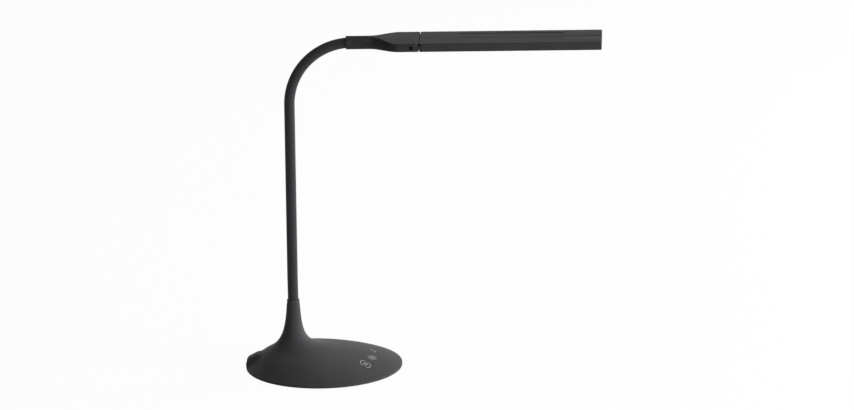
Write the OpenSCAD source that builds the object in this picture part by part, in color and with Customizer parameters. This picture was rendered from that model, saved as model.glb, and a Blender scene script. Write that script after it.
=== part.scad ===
// Folding LED desk lamp: a round weighted base with a trumpet flare, a bendable neck
// built from ball-and-cup links, and two light bars that swing outward on upright pins.
// Millimetres. X runs forward towards the light bars, Z up. The origin is on the table
// under the centre of the base. The lamp is mirrored about the XZ plane.

/* [Base] */
// Diameter of the base across its rim
base_d = 170; // [150:1:200]
// Height of the rubber feet under the rim
foot_h = 1.5; // [1:0.1:3]
// Diameter of each rubber foot
foot_d = 16; // [10:1:20]
// Height of the upright band round the rim
rim_h = 2.5; // [2:0.1:4]
// Distance of the neck behind the centre of the base
stem_offset = 31.8; // [26:0.1:40]
// Height of the top of the trumpet flare above the table
flare_top = 77; // [68:1:100]
// Wall of the base shell
shell_wall = 2.4; // [1.8:0.1:3]
// Thickness of the steel bottom plate
plate_t = 1.8; // [1.2:0.1:2.5]
// Distance of the plate screws from the rim
screw_inset = 19; // [16:1:22]
// Diameter of the screws' shanks
screw_d = 2.8; // [2:0.1:3.2]
// Diameter of the screws' heads
screw_head_d = 5.4; // [4.5:0.1:6.5]

/* [Inside the base] */
// Diameter of the steel ballast disc, as a share of the base's
ballast_share = 0.5; // [0.44:0.01:0.52]
// Thickness of the ballast disc
ballast_t = 4.6; // [3:0.1:5]
// Distance of the ballast behind the centre of the base
ballast_offset = 15; // [12:1:17]
// Distance of the touch keys from the centre, as a share of the base's radius
key_share = 0.65; // [0.6:0.01:0.68]
// Angle between neighbouring touch keys
key_step = 24; // [18:1:28]
// Angle of the middle touch key, turned to the lamp's right
key_turn = -12; // [-20:1:20]
// Width of the control board, front to back
board_w = 29; // [28:1:31]
// Length of the control board, side to side
board_l = 74; // [60:1:80]
// Thickness of the control board
board_t = 1.6; // [1:0.1:2]

/* [Power socket] */
// Width of the socket hood at the rear of the base
hood_w = 20; // [18:1:26]
// Opening of the barrel socket
jack_d = 4.2; // [3.6:0.1:4.6]

/* [Neck] */
// Outer diameter of the neck
neck_d = 11.4; // [10:0.1:13]
// Forward lean of the straight part of the neck, in degrees
neck_lean = 0.6; // [0:0.1:4]
// Length of the straight part above the flare
straight_l = 218; // [190:1:260]
// Radius of the neck's bend, on its centre line
bend_r = 68.5; // [55:0.5:85]
// Diameter of the steel rod inside the sleeve
rod_d = 8.6; // [7:0.1:9]
// Diameter of the balls that the links turn on
ball_d = 10.8; // [9:0.1:11.2]
// Clearance between a ball and its cup
cup_gap = 0.3; // [0.2:0.05:0.4]
// Bore for the lamp's lead
lead_bore_d = 3.2; // [2:0.1:3.6]
// Height of the first bending point above the flare
first_bend = 24; // [20:1:30]
// Depth to which the neck's sleeve is let into the flare
sleeve_depth = 16; // [10:1:20]
// Height of the collar ring on the flare
collar_h = 4.4; // [3:0.1:6]

/* [Head] */
// Width across both light bars
head_w = 57.5; // [50:0.5:64]
// Thickness of the light bars
head_t = 8.9; // [7.6:0.1:10]
// Length of the coupling between the neck and the light bars
coupling_l = 79; // [72:0.5:95]
// Diameter of the coupling's round end
coupling_d = 14.4; // [14:0.1:17]
// Depth to which the bend runs on inside the coupling
bend_inset = 6; // [1:0.5:7]
// Length of the brass ferrule on the end of the neck
ferrule_l = 14; // [10:1:18]
// Distance of each hinge pin from the outer edge of its light bar
pin_edge = 4.8; // [4:0.1:5.2]
// Diameter of the hinge pins
pin_d = 3; // [2.4:0.1:3.4]
// Thickness of the hinge tongues
tongue_t = 3.8; // [3:0.1:4.2]
// Clearance above and below a hinge tongue
tongue_gap = 0.1; // [0.05:0.01:0.2]
// Gap between the coupling and the light bars
bar_gap = 0.6; // [0.5:0.05:0.9]
// Gap between the two light bars
seam_gap = 0.9; // [0.6:0.05:1.5]

/* [Light bars] */
// Length of each light bar
bar_l = 194.5; // [170:0.5:220]
// Rounding of the light bars' long edges
bar_edge_r = 1.3; // [0.8:0.1:1.8]
// Distance by which each bar reaches into the seam behind the recess
seam_lip = 0.3; // [0.1:0.05:0.3]
// Thickness of the end caps
cap_t = 1.6; // [1:0.1:2.5]
// Length of the shallow recess on top of the bars
recess_l = 114; // [80:1:130]
// Depth of the shallow recess
recess_depth = 0.4; // [0.2:0.05:0.6]
// Thickness of the diffusers
diffuser_t = 2; // [1.5:0.1:2.4]
// Width of the bars' border beside the diffuser
bar_border = 2.2; // [1.8:0.1:3]
// Thickness of the light-emitting strips' boards
strip_t = 1; // [0.6:0.1:1.2]
// Number of light-emitting chips in each bar
chips = 24; // [12:1:30]

/* [Hidden] */

// Colours as photographed: one soft black family, with bare metal inside
black = [0.24, 0.24, 0.26];
top_black = [0.29, 0.29, 0.30];
sleeve_black = [0.22, 0.22, 0.24];
steel = [0.62, 0.63, 0.65];
brass = [0.72, 0.58, 0.30];
board_green = [0.10, 0.32, 0.20];
rubber = [0.10, 0.10, 0.11];
frost = [0.93, 0.93, 0.90];
chip_yellow = [0.95, 0.85, 0.45];

// Overlap of cutting shapes past the faces that they open
eps = 0.5;

function ease(t) = let (u = min(max(t, 0), 1)) u*u*(3 - 2*u);
function mix(a, b, t) = a + (b - a)*t;

// Base

base_r = base_d/2;
rim_top = foot_h + rim_h;
plate_top = foot_h + plate_t;
plate_rim = 4;
collar_r = 6.8;
// Shares of the way from the collar to the rim, for a fifth-degree curve. The front
// runs far out into a low dome, the rear drops to the rim in a short sweep.
rise_share = [0, 0.16, 0.32, 0.16, 0.515, 1];
front_share = [1, 0.75, 0.18, 0.02, 0.02, 0];
rear_share = [1, 0.54, 0.68, 0.09, 0.06, 0];
binomial = [1, 5, 10, 10, 5, 1];
function curve(shares, t) =
    [for (i = [0:5]) binomial[i]*pow(1 - t, 5 - i)*pow(t, i)*shares[i]]
    *[1, 1, 1, 1, 1, 1];
function skin_z(t) = rim_top + (flare_top - rim_top)*curve(rise_share, t);
function front_x(t) =
    collar_r - stem_offset
    + (base_r + stem_offset - collar_r)*curve(front_share, t);
function rear_x(t) =
    -stem_offset - collar_r
    - (base_r - stem_offset - collar_r)*curve(rear_share, t);

shell_sides = 60;
shell_steps = 20;
rim_round = 1.4;
skin_start = 0.012;
// Each ring of the skin: centre, radius and height
rim_rings = [
    [0, base_r - rim_round, foot_h],
    [0, base_r - 0.3*rim_round, foot_h + 0.4*rim_round],
    [0, base_r, foot_h + 0.9*rim_round],
    [0, base_r, rim_top - 0.3*rim_round]];
skin_rings = [for (i = [0:shell_steps])
    let (t = max(i/shell_steps, skin_start))
    [(front_x(t) + rear_x(t))/2, (front_x(t) - rear_x(t))/2, skin_z(t)]];

// Closed solid through a list of rings, each a list of points of one length
module ring_loft(rings) {
    n = len(rings[0]);
    m = len(rings);
    points = [for (ring = rings) each ring];
    sides = [for (j = [0:m - 2], i = [0:n - 1])
        let (a = j*n + i, b = j*n + (i + 1)%n)
        each [[a, a + n, b + n], [a, b + n, b]]];
    first = [[for (i = [0:n - 1]) i]];
    last = [[for (i = [n - 1:-1:0]) (m - 1)*n + i]];
    polyhedron(points, concat(sides, first, last), convexity = 8);
}

module base_skin() {
    ring_loft([for (ring = concat(rim_rings, skin_rings))
        [for (i = [0:shell_sides - 1])
            let (a = 360*i/shell_sides)
            [ring[0] + ring[1]*cos(a), ring[1]*sin(a), ring[2]]]]);
}

// Hood over the power socket, swelling out of the rear of the skin
hood_rear_r = 2.6;
hood_front_r = 5;
hood_rear_x = -base_r + 1 + hood_rear_r;
hood_l = 9.4;
hood_rear_h = 8.9;
hood_front_h = 15.5;
module socket_hood() {
    y = hood_w/2;
    hull() for (s = [-1, 1]) translate([hood_rear_x, 0, foot_h]) {
        translate([0, s*(y - hood_rear_r), hood_rear_h - hood_rear_r])
            sphere(r = hood_rear_r, $fn = 32);
        translate([0, s*(y - hood_rear_r), hood_rear_r])
            sphere(r = hood_rear_r, $fn = 32);
        translate([hood_l, s*(y - hood_front_r), hood_front_h - hood_front_r])
            sphere(r = hood_front_r, $fn = 32);
    }
}

// Bosses inside the shell: one for each plate screw and one that the neck nut draws up to
screw_boss_d = 8;
nut_seat_z = 12.2;
nut_seat_d = 20;
screw_angles = [45, 135, 225, 315];
screw_circle_r = base_r - screw_inset;
module at_plate_screws() {
    for (a = screw_angles) rotate(a) translate([screw_circle_r, 0, 0]) children();
}

// Flat ring of the shell between the plate and the cavity above it
cavity_inset = 3;
cavity_r = base_r - plate_rim - cavity_inset;
cavity_steps = 9;
cavity_start = 0.04;
cavity_finish = 0.38;
// The cavity follows the front of the skin, one wall thickness inside it
cavity_outline = concat(
    [[0, plate_top], [cavity_r, plate_top]],
    [for (i = [1:cavity_steps])
        let (t = mix(cavity_start, cavity_finish, i/cavity_steps))
        [min(front_x(t) - shell_wall, cavity_r), skin_z(t) - shell_wall]],
    [[0, skin_z(cavity_finish) - shell_wall]]);
module cavity() {
    difference() {
        rotate_extrude($fn = 96) polygon(cavity_outline);
        at_plate_screws() cylinder(d = screw_boss_d, h = flare_top, $fn = 32);
        translate([-stem_offset, 0, nut_seat_z]) cylinder(d = nut_seat_d, h = flare_top, $fn = 48);
    }
}

screw_l = 6;
screw_tip_gap = 0.3;
boss_bore_l = screw_l - plate_t + screw_tip_gap;
module base_shell() {
    color(black) difference() {
        union() {
            base_skin();
            socket_hood();
        }
        translate([0, 0, foot_h - eps])
            cylinder(r = base_r - plate_rim, h = plate_t + eps, $fn = 96);
        cavity();
        translate([-stem_offset, 0, nut_seat_z - eps])
            cylinder(d = rod_d, h = flare_top, $fn = 48);
        translate([-stem_offset, 0, flare_top - sleeve_depth])
            cylinder(d = neck_d, h = sleeve_depth + eps, $fn = 48);
        translate([-stem_offset, 0, flare_top - collar_h])
            cylinder(r = collar_r + eps, h = collar_h + eps, $fn = 48);
        at_plate_screws() translate([0, 0, plate_top - eps])
            cylinder(d = screw_d, h = boss_bore_l + eps, $fn = 32);
        socket_pocket();
    }
}

module base_plate() {
    color(steel) difference() {
        union() {
            translate([0, 0, foot_h])
                cylinder(r = base_r - plate_rim, h = plate_t, $fn = 96);
            at_standoffs() translate([0, 0, plate_top]) cylinder(d = standoff_d, h = standoff_h, $fn = 32);
        }
        at_plate_screws() translate([0, 0, foot_h - eps]) {
            cylinder(d = screw_d, h = plate_t + 2*eps, $fn = 32);
            cylinder(d = screw_head_d, h = screw_head_t + eps, $fn = 32);
        }
        at_feet() translate([0, 0, foot_h - eps])
            cylinder(d = foot_d, h = foot_seat + eps, $fn = 48);
    }
}

// Feet sit in shallow seats in the plate: one between each two screws and one in the middle
foot_seat = 0.6;
foot_inset = 17;
foot_circle_r = base_r - foot_inset;
foot_chamfer = 0.6;
module at_feet() {
    children();
    for (a = [0:90:270]) rotate(a) translate([foot_circle_r, 0, 0]) children();
}

module rubber_feet() {
    color(rubber) at_feet() rotate_extrude($fn = 48) polygon([
        [0, 0], [foot_d/2 - foot_chamfer, 0], [foot_d/2, foot_chamfer],
        [foot_d/2, foot_h + foot_seat], [0, foot_h + foot_seat]]);
}

screw_head_t = 1;
cross_share = 0.6;
cross_w = 0.7;
module screw(shank_d, head_d, head_t, length) {
    difference() {
        union() {
            cylinder(d = head_d, h = head_t, $fn = 32);
            cylinder(d = shank_d, h = length, $fn = 32);
        }
        for (a = [0, 90]) rotate(a) cube([cross_share*head_d, cross_w, head_t], center = true);
    }
}

module plate_screws() {
    color(steel) at_plate_screws() translate([0, 0, foot_h])
        screw(screw_d, screw_head_d, screw_head_t, screw_l);
}

// Steel disc that keeps the lamp on its feet, with a hole round the neck nut
ballast_hole_d = 26;
ballast_d = ballast_share*base_d;
module ballast_disc() {
    color(steel) difference() {
        translate([-ballast_offset, 0, plate_top]) cylinder(d = ballast_d, h = ballast_t, $fn = 96);
        translate([-stem_offset, 0, plate_top - eps])
            cylinder(d = ballast_hole_d, h = ballast_t + 2*eps, $fn = 48);
    }
}

// Control board on three standoffs, under the touch keys
standoff_d = 4;
standoff_h = 1.4;
standoff_inset = 4;
board_gap = 3;
board_rim_gap = 21;
board_reach = base_r - board_rim_gap;
board_x = ballast_d/2 - ballast_offset + board_gap;
board_z = plate_top + standoff_h;
standoff_y = board_l/2 - standoff_inset;
module at_standoffs() {
    for (p = [[board_w - standoff_inset, 0], [standoff_inset, standoff_y], [standoff_inset, -standoff_y]])
        translate([board_x + p[0], p[1], 0]) children();
}

// Square parts on the board: place from its rear edge, length, width and height
board_parts = [[4, 10, 5, 5, 1], [3, -22, 6, 4, 1.6], [4, -6, 3, 8, 1.2]];
module control_board() {
    color(board_green) translate([board_x, 0, board_z]) {
        intersection() {
            translate([0, -board_l/2, 0]) cube([board_w, board_l, board_t]);
            translate([-board_x, 0, 0]) cylinder(r = board_reach, h = board_t, $fn = 96);
        }
        for (p = board_parts) translate([p[0], p[1], board_t]) cube([p[2], p[3], p[4]]);
    }
}

// A soft contact pad under each touch key, from the board up to the shell
pad_d = 7;
pad_gap = 0.15;
key_r = key_share*base_r;
key_angles = [for (k = [-1:1]) key_turn + k*key_step];
module touch_pads() {
    color(rubber) intersection() {
        for (a = key_angles) rotate(a) translate([key_r, 0, board_z + board_t])
            cylinder(d = pad_d, h = flare_top, $fn = 32);
        translate([0, 0, -pad_gap]) cavity();
    }
}

// Power socket behind a bezel in the rear of the hood
bezel_w = 14;
bezel_h = 5.4;
bezel_t = 2;
bezel_inset = 1.8;
bezel_x = bezel_inset - base_r;
bezel_play = 0.1;
plug_play = 0.8;
bezel_opening_d = jack_d + plug_play;
socket_w = 9;
socket_l = 11;
socket_back_t = 2;
socket_pin_d = 1.6;
socket_pin_inset = 1;
socket_z = plate_top + bezel_play + bezel_h/2;
module socket_pocket() {
    translate([-base_r - eps, -bezel_w/2, socket_z - bezel_h/2])
        cube([bezel_x + bezel_t + base_r + eps, bezel_w, bezel_h]);
    translate([bezel_x + bezel_t - eps, -socket_w/2, socket_z - bezel_h/2])
        cube([socket_l + eps, socket_w, bezel_h]);
}

module socket_bezel() {
    color(black) difference() {
        translate([bezel_x, -bezel_w/2, socket_z - bezel_h/2]) cube([bezel_t, bezel_w, bezel_h]);
        translate([bezel_x - eps, 0, socket_z]) rotate([0, 90, 0])
            cylinder(d = bezel_opening_d, h = bezel_t + 2*eps, $fn = 48);
    }
}

module power_socket() {
    color(black) translate([bezel_x + bezel_t, 0, socket_z]) difference() {
        translate([0, -socket_w/2, -bezel_h/2]) cube([socket_l, socket_w, bezel_h]);
        rotate([0, 90, 0]) {
            translate([0, 0, -eps]) cylinder(d = jack_d, h = socket_l - socket_back_t + eps, $fn = 48);
            cylinder(d = socket_pin_d, h = socket_l + eps, $fn = 32);
        }
    }
}

module socket_pin() {
    color(brass) translate([bezel_x + bezel_t + socket_pin_inset, 0, socket_z]) rotate([0, 90, 0])
        cylinder(d = socket_pin_d, h = socket_l - socket_pin_inset, $fn = 32);
}

// Hexagonal nut that draws the neck's stub down into the base
nut_across = 17;
nut_t = 3.6;
module neck_nut() {
    color(brass) translate([-stem_offset, 0, nut_seat_z - nut_t]) difference() {
        cylinder(d = nut_across, h = nut_t, $fn = 6);
        translate([0, 0, -eps]) cylinder(d = rod_d, h = nut_t + 2*eps, $fn = 48);
    }
}

// Ring that finishes the flare round the neck, with a fine groove under it
collar_edge = 0.5;
module neck_collar() {
    color(top_black) translate([-stem_offset, 0, flare_top - collar_h])
        rotate_extrude($fn = 64) polygon([
            [neck_d/2, 0], [collar_r - collar_edge, 0], [collar_r, collar_edge],
            [collar_r, collar_h - collar_edge], [collar_r - collar_edge, collar_h],
            [neck_d/2, collar_h]]);
}

// Neck

neck_r = neck_d/2;
ball_r = ball_d/2;
// Height of the cup's lip and of the shoulder about the centre of a ball
lip_z = 2.4;
shoulder_z = -0.3;
cup_l = 9;
shoulder_l = 3;
// Length by which the parts of a core run into each other
join = 1;
// Step between the last link's rod and its thinner end in the ferrule
end_step = 0.4;
end_rod_d = rod_d - end_step;
stub_end_l = 0.6;
stub_bottom = nut_seat_z - nut_t - stub_end_l;
first_bend_z = flare_top + first_bend;
leaning_l = straight_l - first_bend;
leaning_links = 4;
link_l = leaning_l/leaning_links;
bend_turn = 90 - neck_lean;
last_bend_turn = 58;
function arc_turn(length) = length/bend_r*180/PI;

// Moves its children along the leaning straight part, from the lowest bending point
module on_straight(s) {
    translate([-stem_offset, 0, first_bend_z]) rotate([0, neck_lean, 0])
        translate([0, 0, s]) children();
}

// Moves its children to a point of the bend, at a turn from the straight part
module on_bend(turn) {
    on_straight(leaning_l) translate([bend_r, 0, 0]) rotate([0, turn, 0])
        translate([-bend_r, 0, 0]) children();
}

module tube(outer_d, inner_d, length) {
    difference() {
        cylinder(d = outer_d, h = length, $fn = 48);
        translate([0, 0, -eps]) cylinder(d = inner_d, h = length + 2*eps, $fn = 48);
    }
}

// A length of a rod along the bend, between two turns
module bend_rod(d, from_turn, to_turn) {
    on_straight(leaning_l) translate([bend_r, 0, 0]) rotate([90, 0, 0]) rotate([0, 0, 180 - to_turn])
        rotate_extrude(angle = to_turn - from_turn, $fn = 180)
            translate([bend_r, 0]) circle(d = d, $fn = 48);
}

// The same as a tube
module bend_tube(outer_d, inner_d, from_turn, to_turn) {
    on_straight(leaning_l) translate([bend_r, 0, 0]) rotate([90, 0, 0]) rotate([0, 0, 180 - to_turn])
        rotate_extrude(angle = to_turn - from_turn, $fn = 180) translate([bend_r, 0]) difference() {
            circle(d = outer_d, $fn = 48);
            circle(d = inner_d, $fn = 48);
        }
}

module rod(d, length) {
    cylinder(d = d, h = length, $fn = 48);
}

// Spherical socket cut into the lower end of a link
module cup_hollow() {
    sphere(r = ball_r + cup_gap, $fn = 48);
}

// Upper half of a ball, sunk a little way into its shoulder
module half_ball() {
    intersection() {
        sphere(r = ball_r, $fn = 48);
        translate([0, 0, shoulder_z - join]) rod(neck_d, neck_d);
    }
}

// Steel cores: each has a cup at its lower end, a rod, and half a ball on a shoulder at its
// upper end. The first is the stub in the base and the last ends in the ferrule.
module stub_core() {
    difference() {
        union() {
            translate([-stem_offset, 0, stub_bottom])
                rod(rod_d, first_bend_z + shoulder_z - shoulder_l + join - stub_bottom);
            translate([-stem_offset, 0, first_bend_z + shoulder_z - shoulder_l]) rod(neck_d, shoulder_l);
            translate([-stem_offset, 0, first_bend_z]) half_ball();
        }
        translate([-stem_offset, 0, stub_bottom - eps]) rod(lead_bore_d, first_bend_z);
    }
}

module straight_core(i) {
    start = (i - 1)*link_l;
    difference() {
        union() {
            on_straight(start + lip_z) rod(neck_d, cup_l - lip_z);
            on_straight(start + cup_l - join)
                rod(rod_d, link_l - cup_l - shoulder_l + shoulder_z + 2*join);
            on_straight(start + link_l + shoulder_z - shoulder_l) rod(neck_d, shoulder_l);
            on_straight(start + link_l) half_ball();
        }
        on_straight(start) cup_hollow();
        on_straight(start) rod(lead_bore_d, link_l + neck_d);
    }
}

module bend_core() {
    difference() {
        union() {
            bend_rod(neck_d, arc_turn(lip_z), arc_turn(cup_l));
            bend_rod(rod_d, arc_turn(cup_l - join),
                last_bend_turn - arc_turn(shoulder_l - shoulder_z - join));
            bend_rod(neck_d, last_bend_turn - arc_turn(shoulder_l - shoulder_z),
                last_bend_turn + arc_turn(shoulder_z));
            on_bend(last_bend_turn) half_ball();
        }
        on_straight(leaning_l) cup_hollow();
        bend_rod(lead_bore_d, 0, last_bend_turn + arc_turn(neck_d));
    }
}

module end_core() {
    difference() {
        union() {
            bend_rod(neck_d, last_bend_turn + arc_turn(lip_z), last_bend_turn + arc_turn(cup_l));
            bend_rod(rod_d, last_bend_turn + arc_turn(cup_l - join), bend_turn);
            on_bend(bend_turn) translate([0, 0, -join]) rod(end_rod_d, ferrule_l + join);
        }
        on_bend(last_bend_turn) cup_hollow();
        bend_rod(lead_bore_d, last_bend_turn, bend_turn);
        on_bend(bend_turn) translate([0, 0, -join]) rod(lead_bore_d + end_step, ferrule_l + join + eps);
    }
}

module neck_core(i) {
    color(steel) {
        if (i == 0) stub_core();
        else if (i < 5) straight_core(i);
        else if (i == 5) bend_core();
        else end_core();
    }
}

// Soft sleeve, in one length on each link
module neck_sleeve(i) {
    sleeve_l = link_l - cup_l - shoulder_l + shoulder_z;
    color(sleeve_black) {
        if (i == 0)
            translate([-stem_offset, 0, flare_top - sleeve_depth])
                tube(neck_d, rod_d, first_bend + shoulder_z - shoulder_l + sleeve_depth);
        else if (i < 5)
            on_straight((i - 1)*link_l + cup_l) tube(neck_d, rod_d, sleeve_l);
        else if (i == 5)
            bend_tube(neck_d, rod_d, arc_turn(cup_l), last_bend_turn - arc_turn(shoulder_l - shoulder_z));
        else
            bend_tube(neck_d, rod_d, last_bend_turn + arc_turn(cup_l), bend_turn);
    }
}

// Coupling

// Centre line of the head and the end of the neck's bend
head_z = first_bend_z + leaning_l*cos(neck_lean) + bend_r*(1 - sin(neck_lean));
bend_end_x = -stem_offset + leaning_l*sin(neck_lean) + bend_r*cos(neck_lean);
mouth_x = bend_end_x - bend_inset;
front_x0 = mouth_x + coupling_l;
bar_x = front_x0 + bar_gap;
// The coupling stays round up to flare_start and is full width from flare_end on
flare_start = 25;
flare_end = 57;
coupling_edge_r = 1.5;
coupling_flat = 0.2;
ferrule_wall = 0.35;
ferrule_d = neck_d + 2*ferrule_wall;
split_z = -tongue_t/2 - tongue_gap;
pin_x = front_x0 - pin_edge;
pin_y = head_w/2 - pin_edge;

corner_steps = 7;
// Outline of the coupling at a share of the flare: a circle that widens to a flat bar
function coupling_ring_points(x, share) =
    let (w = mix(coupling_d, head_w, share)/2,
         h = mix(coupling_d, head_t, share)/2,
         r = mix(coupling_d/2 - coupling_flat, coupling_edge_r, sqrt(share)))
    [for (q = [0:3], k = [0:corner_steps])
        let (a = 90*q + 90*k/corner_steps,
             sy = (q == 0 || q == 3) ? 1 : -1,
             sz = (q < 2) ? 1 : -1)
        [x, sy*(w - r) + r*cos(a), sz*(h - r) + r*sin(a)]];

coupling_steps = 14;
module coupling_skin() {
    x_list = concat(
        [0], [for (i = [0:coupling_steps]) mix(flare_start, flare_end, i/coupling_steps)], [coupling_l]);
    translate([mouth_x, 0, head_z])
        ring_loft([for (x = x_list)
            coupling_ring_points(x, ease((x - flare_start)/(flare_end - flare_start)))]);
}

tongue_r = pin_edge - 0.5;
slot_play = 1;
slot_r = tongue_r + slot_play;
pin_cover = 0.8;
pin_top = head_t/2 - pin_cover;
pin_head_d = 4.8;
pin_head_t = 1;
ring_x = 1.6;
ring_w = 1.8;
ring_depth = 0.5;
ring_proud = 0.1;
coupling_screw_d = 2.2;
coupling_screw_head = 4.2;
coupling_screw_y = 14;
coupling_screw_inset = 5;
coupling_screw_x = flare_end + coupling_screw_inset;
coupling_screw_l = 5.5;
coupling_screw_head_t = 0.8;

// Places its children at a hinge: side is 1 for the left bar and -1 for the right
module at_hinge(side) {
    translate([pin_x, side*pin_y, head_z]) mirror([0, side < 0 ? 1 : 0, 0]) children();
}

// Room that a hinge tongue sweeps through, open to the front and to the side
module hinge_slot() {
    slot_t = tongue_t + 2*tongue_gap;
    translate([0, 0, -slot_t/2]) {
        cylinder(r = slot_r, h = slot_t, $fn = 48);
        translate([0, -slot_r, 0]) cube([pin_edge + eps, slot_r + pin_edge + eps, slot_t]);
        translate([-slot_r, 0, 0]) cube([slot_r + pin_edge + eps, pin_edge + eps, slot_t]);
    }
}

// Outer front corner of the coupling, rounded about the hinge pin
module hinge_corner_cut() {
    translate([0, 0, -head_t]) difference() {
        cube([2*pin_edge, 2*pin_edge, 2*head_t]);
        translate([0, 0, -eps]) cylinder(r = pin_edge, h = 2*head_t + 2*eps, $fn = 64);
    }
}

module at_coupling_screws() {
    for (s = [-1, 1])
        translate([mouth_x + coupling_screw_x, s*coupling_screw_y, head_z - head_t/2]) children();
}

// The coupling as one body, before it is parted into an upper and a lower shell
module coupling_body() {
    difference() {
        coupling_skin();
        translate([mouth_x - eps, 0, head_z]) rotate([0, 90, 0])
            cylinder(d = ferrule_d, h = bend_inset + ferrule_l + eps, $fn = 48);
        translate([mouth_x + ring_x, 0, head_z]) rotate([0, 90, 0])
            tube(coupling_d + 2*eps, coupling_d - 2*ring_depth, ring_w);
        for (s = [-1, 1]) {
            at_hinge(s) {
                hinge_slot();
                hinge_corner_cut();
                translate([0, 0, -head_t]) cylinder(d = pin_d, h = head_t + pin_top, $fn = 48);
                translate([0, 0, -head_t/2 - eps]) cylinder(d = pin_head_d, h = pin_head_t + eps, $fn = 48);
            }
        }
        at_coupling_screws() {
            translate([0, 0, -eps])
                cylinder(d = coupling_screw_head, h = coupling_screw_head_t + eps, $fn = 32);
            cylinder(d = coupling_screw_d, h = coupling_screw_l + screw_tip_gap, $fn = 32);
        }
    }
}

module upper_half() {
    translate([mouth_x - eps, -head_w, head_z + split_z]) cube([coupling_l + 2*eps, 2*head_w, coupling_d]);
}

module lower_half() {
    translate([mouth_x - eps, -head_w, head_z + split_z - coupling_d])
        cube([coupling_l + 2*eps, 2*head_w, coupling_d]);
}

module coupling_top() {
    color(top_black) intersection() {
        coupling_body();
        upper_half();
    }
}

module coupling_bottom() {
    color(black) intersection() {
        coupling_body();
        lower_half();
    }
}

module coupling_screws() {
    color(steel) at_coupling_screws()
        screw(coupling_screw_d, coupling_screw_head, coupling_screw_head_t, coupling_screw_l);
}

// Snap ring that holds the two shells together at the round end
module coupling_ring() {
    color(top_black) translate([mouth_x + ring_x, 0, head_z]) rotate([0, 90, 0])
        tube(coupling_d + 2*ring_proud, coupling_d - 2*ring_depth, ring_w);
}

// Brass ferrule crimped on the end of the neck and held in the coupling
module neck_ferrule() {
    color(brass) translate([bend_end_x, 0, head_z]) rotate([0, 90, 0])
        tube(ferrule_d, end_rod_d, ferrule_l);
}

module hinge_pin(side) {
    color(steel) at_hinge(side) {
        translate([0, 0, -head_t/2]) cylinder(d = pin_head_d, h = pin_head_t, $fn = 48);
        translate([0, 0, -head_t/2]) cylinder(d = pin_d, h = head_t/2 + pin_top, $fn = 48);
    }
}

// Light bars. Each is modelled on the left side and mirrored for the right one.

left = 1;
right = -1;
bar_w = (head_w - seam_gap)/2;
bar_end = bar_x + bar_l;
pin_play = 0.04;
bar_corner_r = 3;
recess_start = 39;
recess_share = 0.65;
recess_corner_r = 6;
strip_w = 15;
strip_x = 14;
strip_l = bar_l - cap_t - 2*strip_x;
chip_inset = 4;
cavity_w = 20;
bar_top_wall = 2.2;
cavity_top = head_t/2 - bar_top_wall;
diffuser_z = -head_t/2;
chip = [3.2, 2.8, 0.7];
plug_l = 4;

// Places its children at the inner rear corner of a bar, at the middle of its height
module at_bar(side) {
    mirror([0, side < 0 ? 1 : 0, 0]) translate([bar_x, seam_gap/2, head_z]) children();
}

// Rectangle with round corners, drawn with true arcs
module round_rect(w, h, r) {
    translate([r, 0]) square([w - 2*r, h]);
    translate([0, r]) square([w, h - 2*r]);
    for (x = [r, w - r], y = [r, h - r])
        translate([x, y]) circle(r = r, $fn = 32);
}

// Solid of a bar's section along X
module bar_section(length) {
    rotate([90, 0, 90]) linear_extrude(length) translate([0, -head_t/2])
        round_rect(bar_w, head_t, bar_edge_r);
}

// Plan of a bar, with its outer rear corner rounded
module bar_plan() {
    l = bar_l - cap_t;
    translate([bar_corner_r, 0]) square([l - bar_corner_r, bar_w]);
    square([l, bar_w - bar_corner_r]);
    translate([bar_corner_r, bar_w - bar_corner_r]) circle(r = bar_corner_r, $fn = 48);
}

// Length of the opening under a bar, from a solid hinge end to the end cap
opening_x = 12;
module bar_inside() {
    y = (bar_w - cavity_w)/2;
    l = bar_l - cap_t;
    translate([opening_x, y, diffuser_z + diffuser_t - eps])
        cube([l - opening_x + eps, cavity_w, cavity_top - diffuser_z - diffuser_t + eps]);
    translate([opening_x, bar_border, diffuser_z - eps])
        cube([l - opening_x + eps, bar_w - 2*bar_border, diffuser_t + eps]);
}

// Shallow recess on the inner part of a bar's top, with round outer corners
module top_recess() {
    w = recess_share*bar_w;
    r = recess_corner_r;
    translate([recess_start, 0, head_t/2 - recess_depth]) linear_extrude(recess_depth + eps) {
        translate([r, -eps]) square([recess_l - 2*r, w + eps]);
        translate([0, -eps]) square([recess_l, w - r + eps]);
        for (x = [r, recess_l - r]) translate([x, w - r]) circle(r = r, $fn = 48);
    }
}

module bar_housing(side) {
    color(top_black) difference() {
        union() {
            at_bar(side) intersection() {
                bar_section(bar_l - cap_t);
                translate([0, 0, -head_t]) linear_extrude(2*head_t) bar_plan();
            }
            at_bar(side) translate([0, -seam_lip, -head_t/2])
                cube([recess_start, seam_lip + bar_edge_r, head_t]);
            at_hinge(side) translate([0, 0, -tongue_t/2]) {
                cylinder(r = tongue_r, h = tongue_t, $fn = 48);
                translate([0, -tongue_r, 0])
                    cube([pin_edge + bar_gap + bar_corner_r, 2*tongue_r, tongue_t]);
            }
        }
        at_bar(side) bar_inside();
        at_bar(side) top_recess();
        at_hinge(side) translate([0, 0, -head_t/2]) cylinder(d = pin_d + 2*pin_play, h = head_t, $fn = 48);
    }
}

module diffuser(side) {
    color(frost) at_bar(side) translate([opening_x, bar_border, diffuser_z])
        cube([bar_l - cap_t - opening_x, bar_w - 2*bar_border, diffuser_t]);
}

module led_strip(side) {
    color("white") at_bar(side)
        translate([strip_x, (bar_w - strip_w)/2, cavity_top - strip_t])
            cube([strip_l, strip_w, strip_t]);
}

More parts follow.
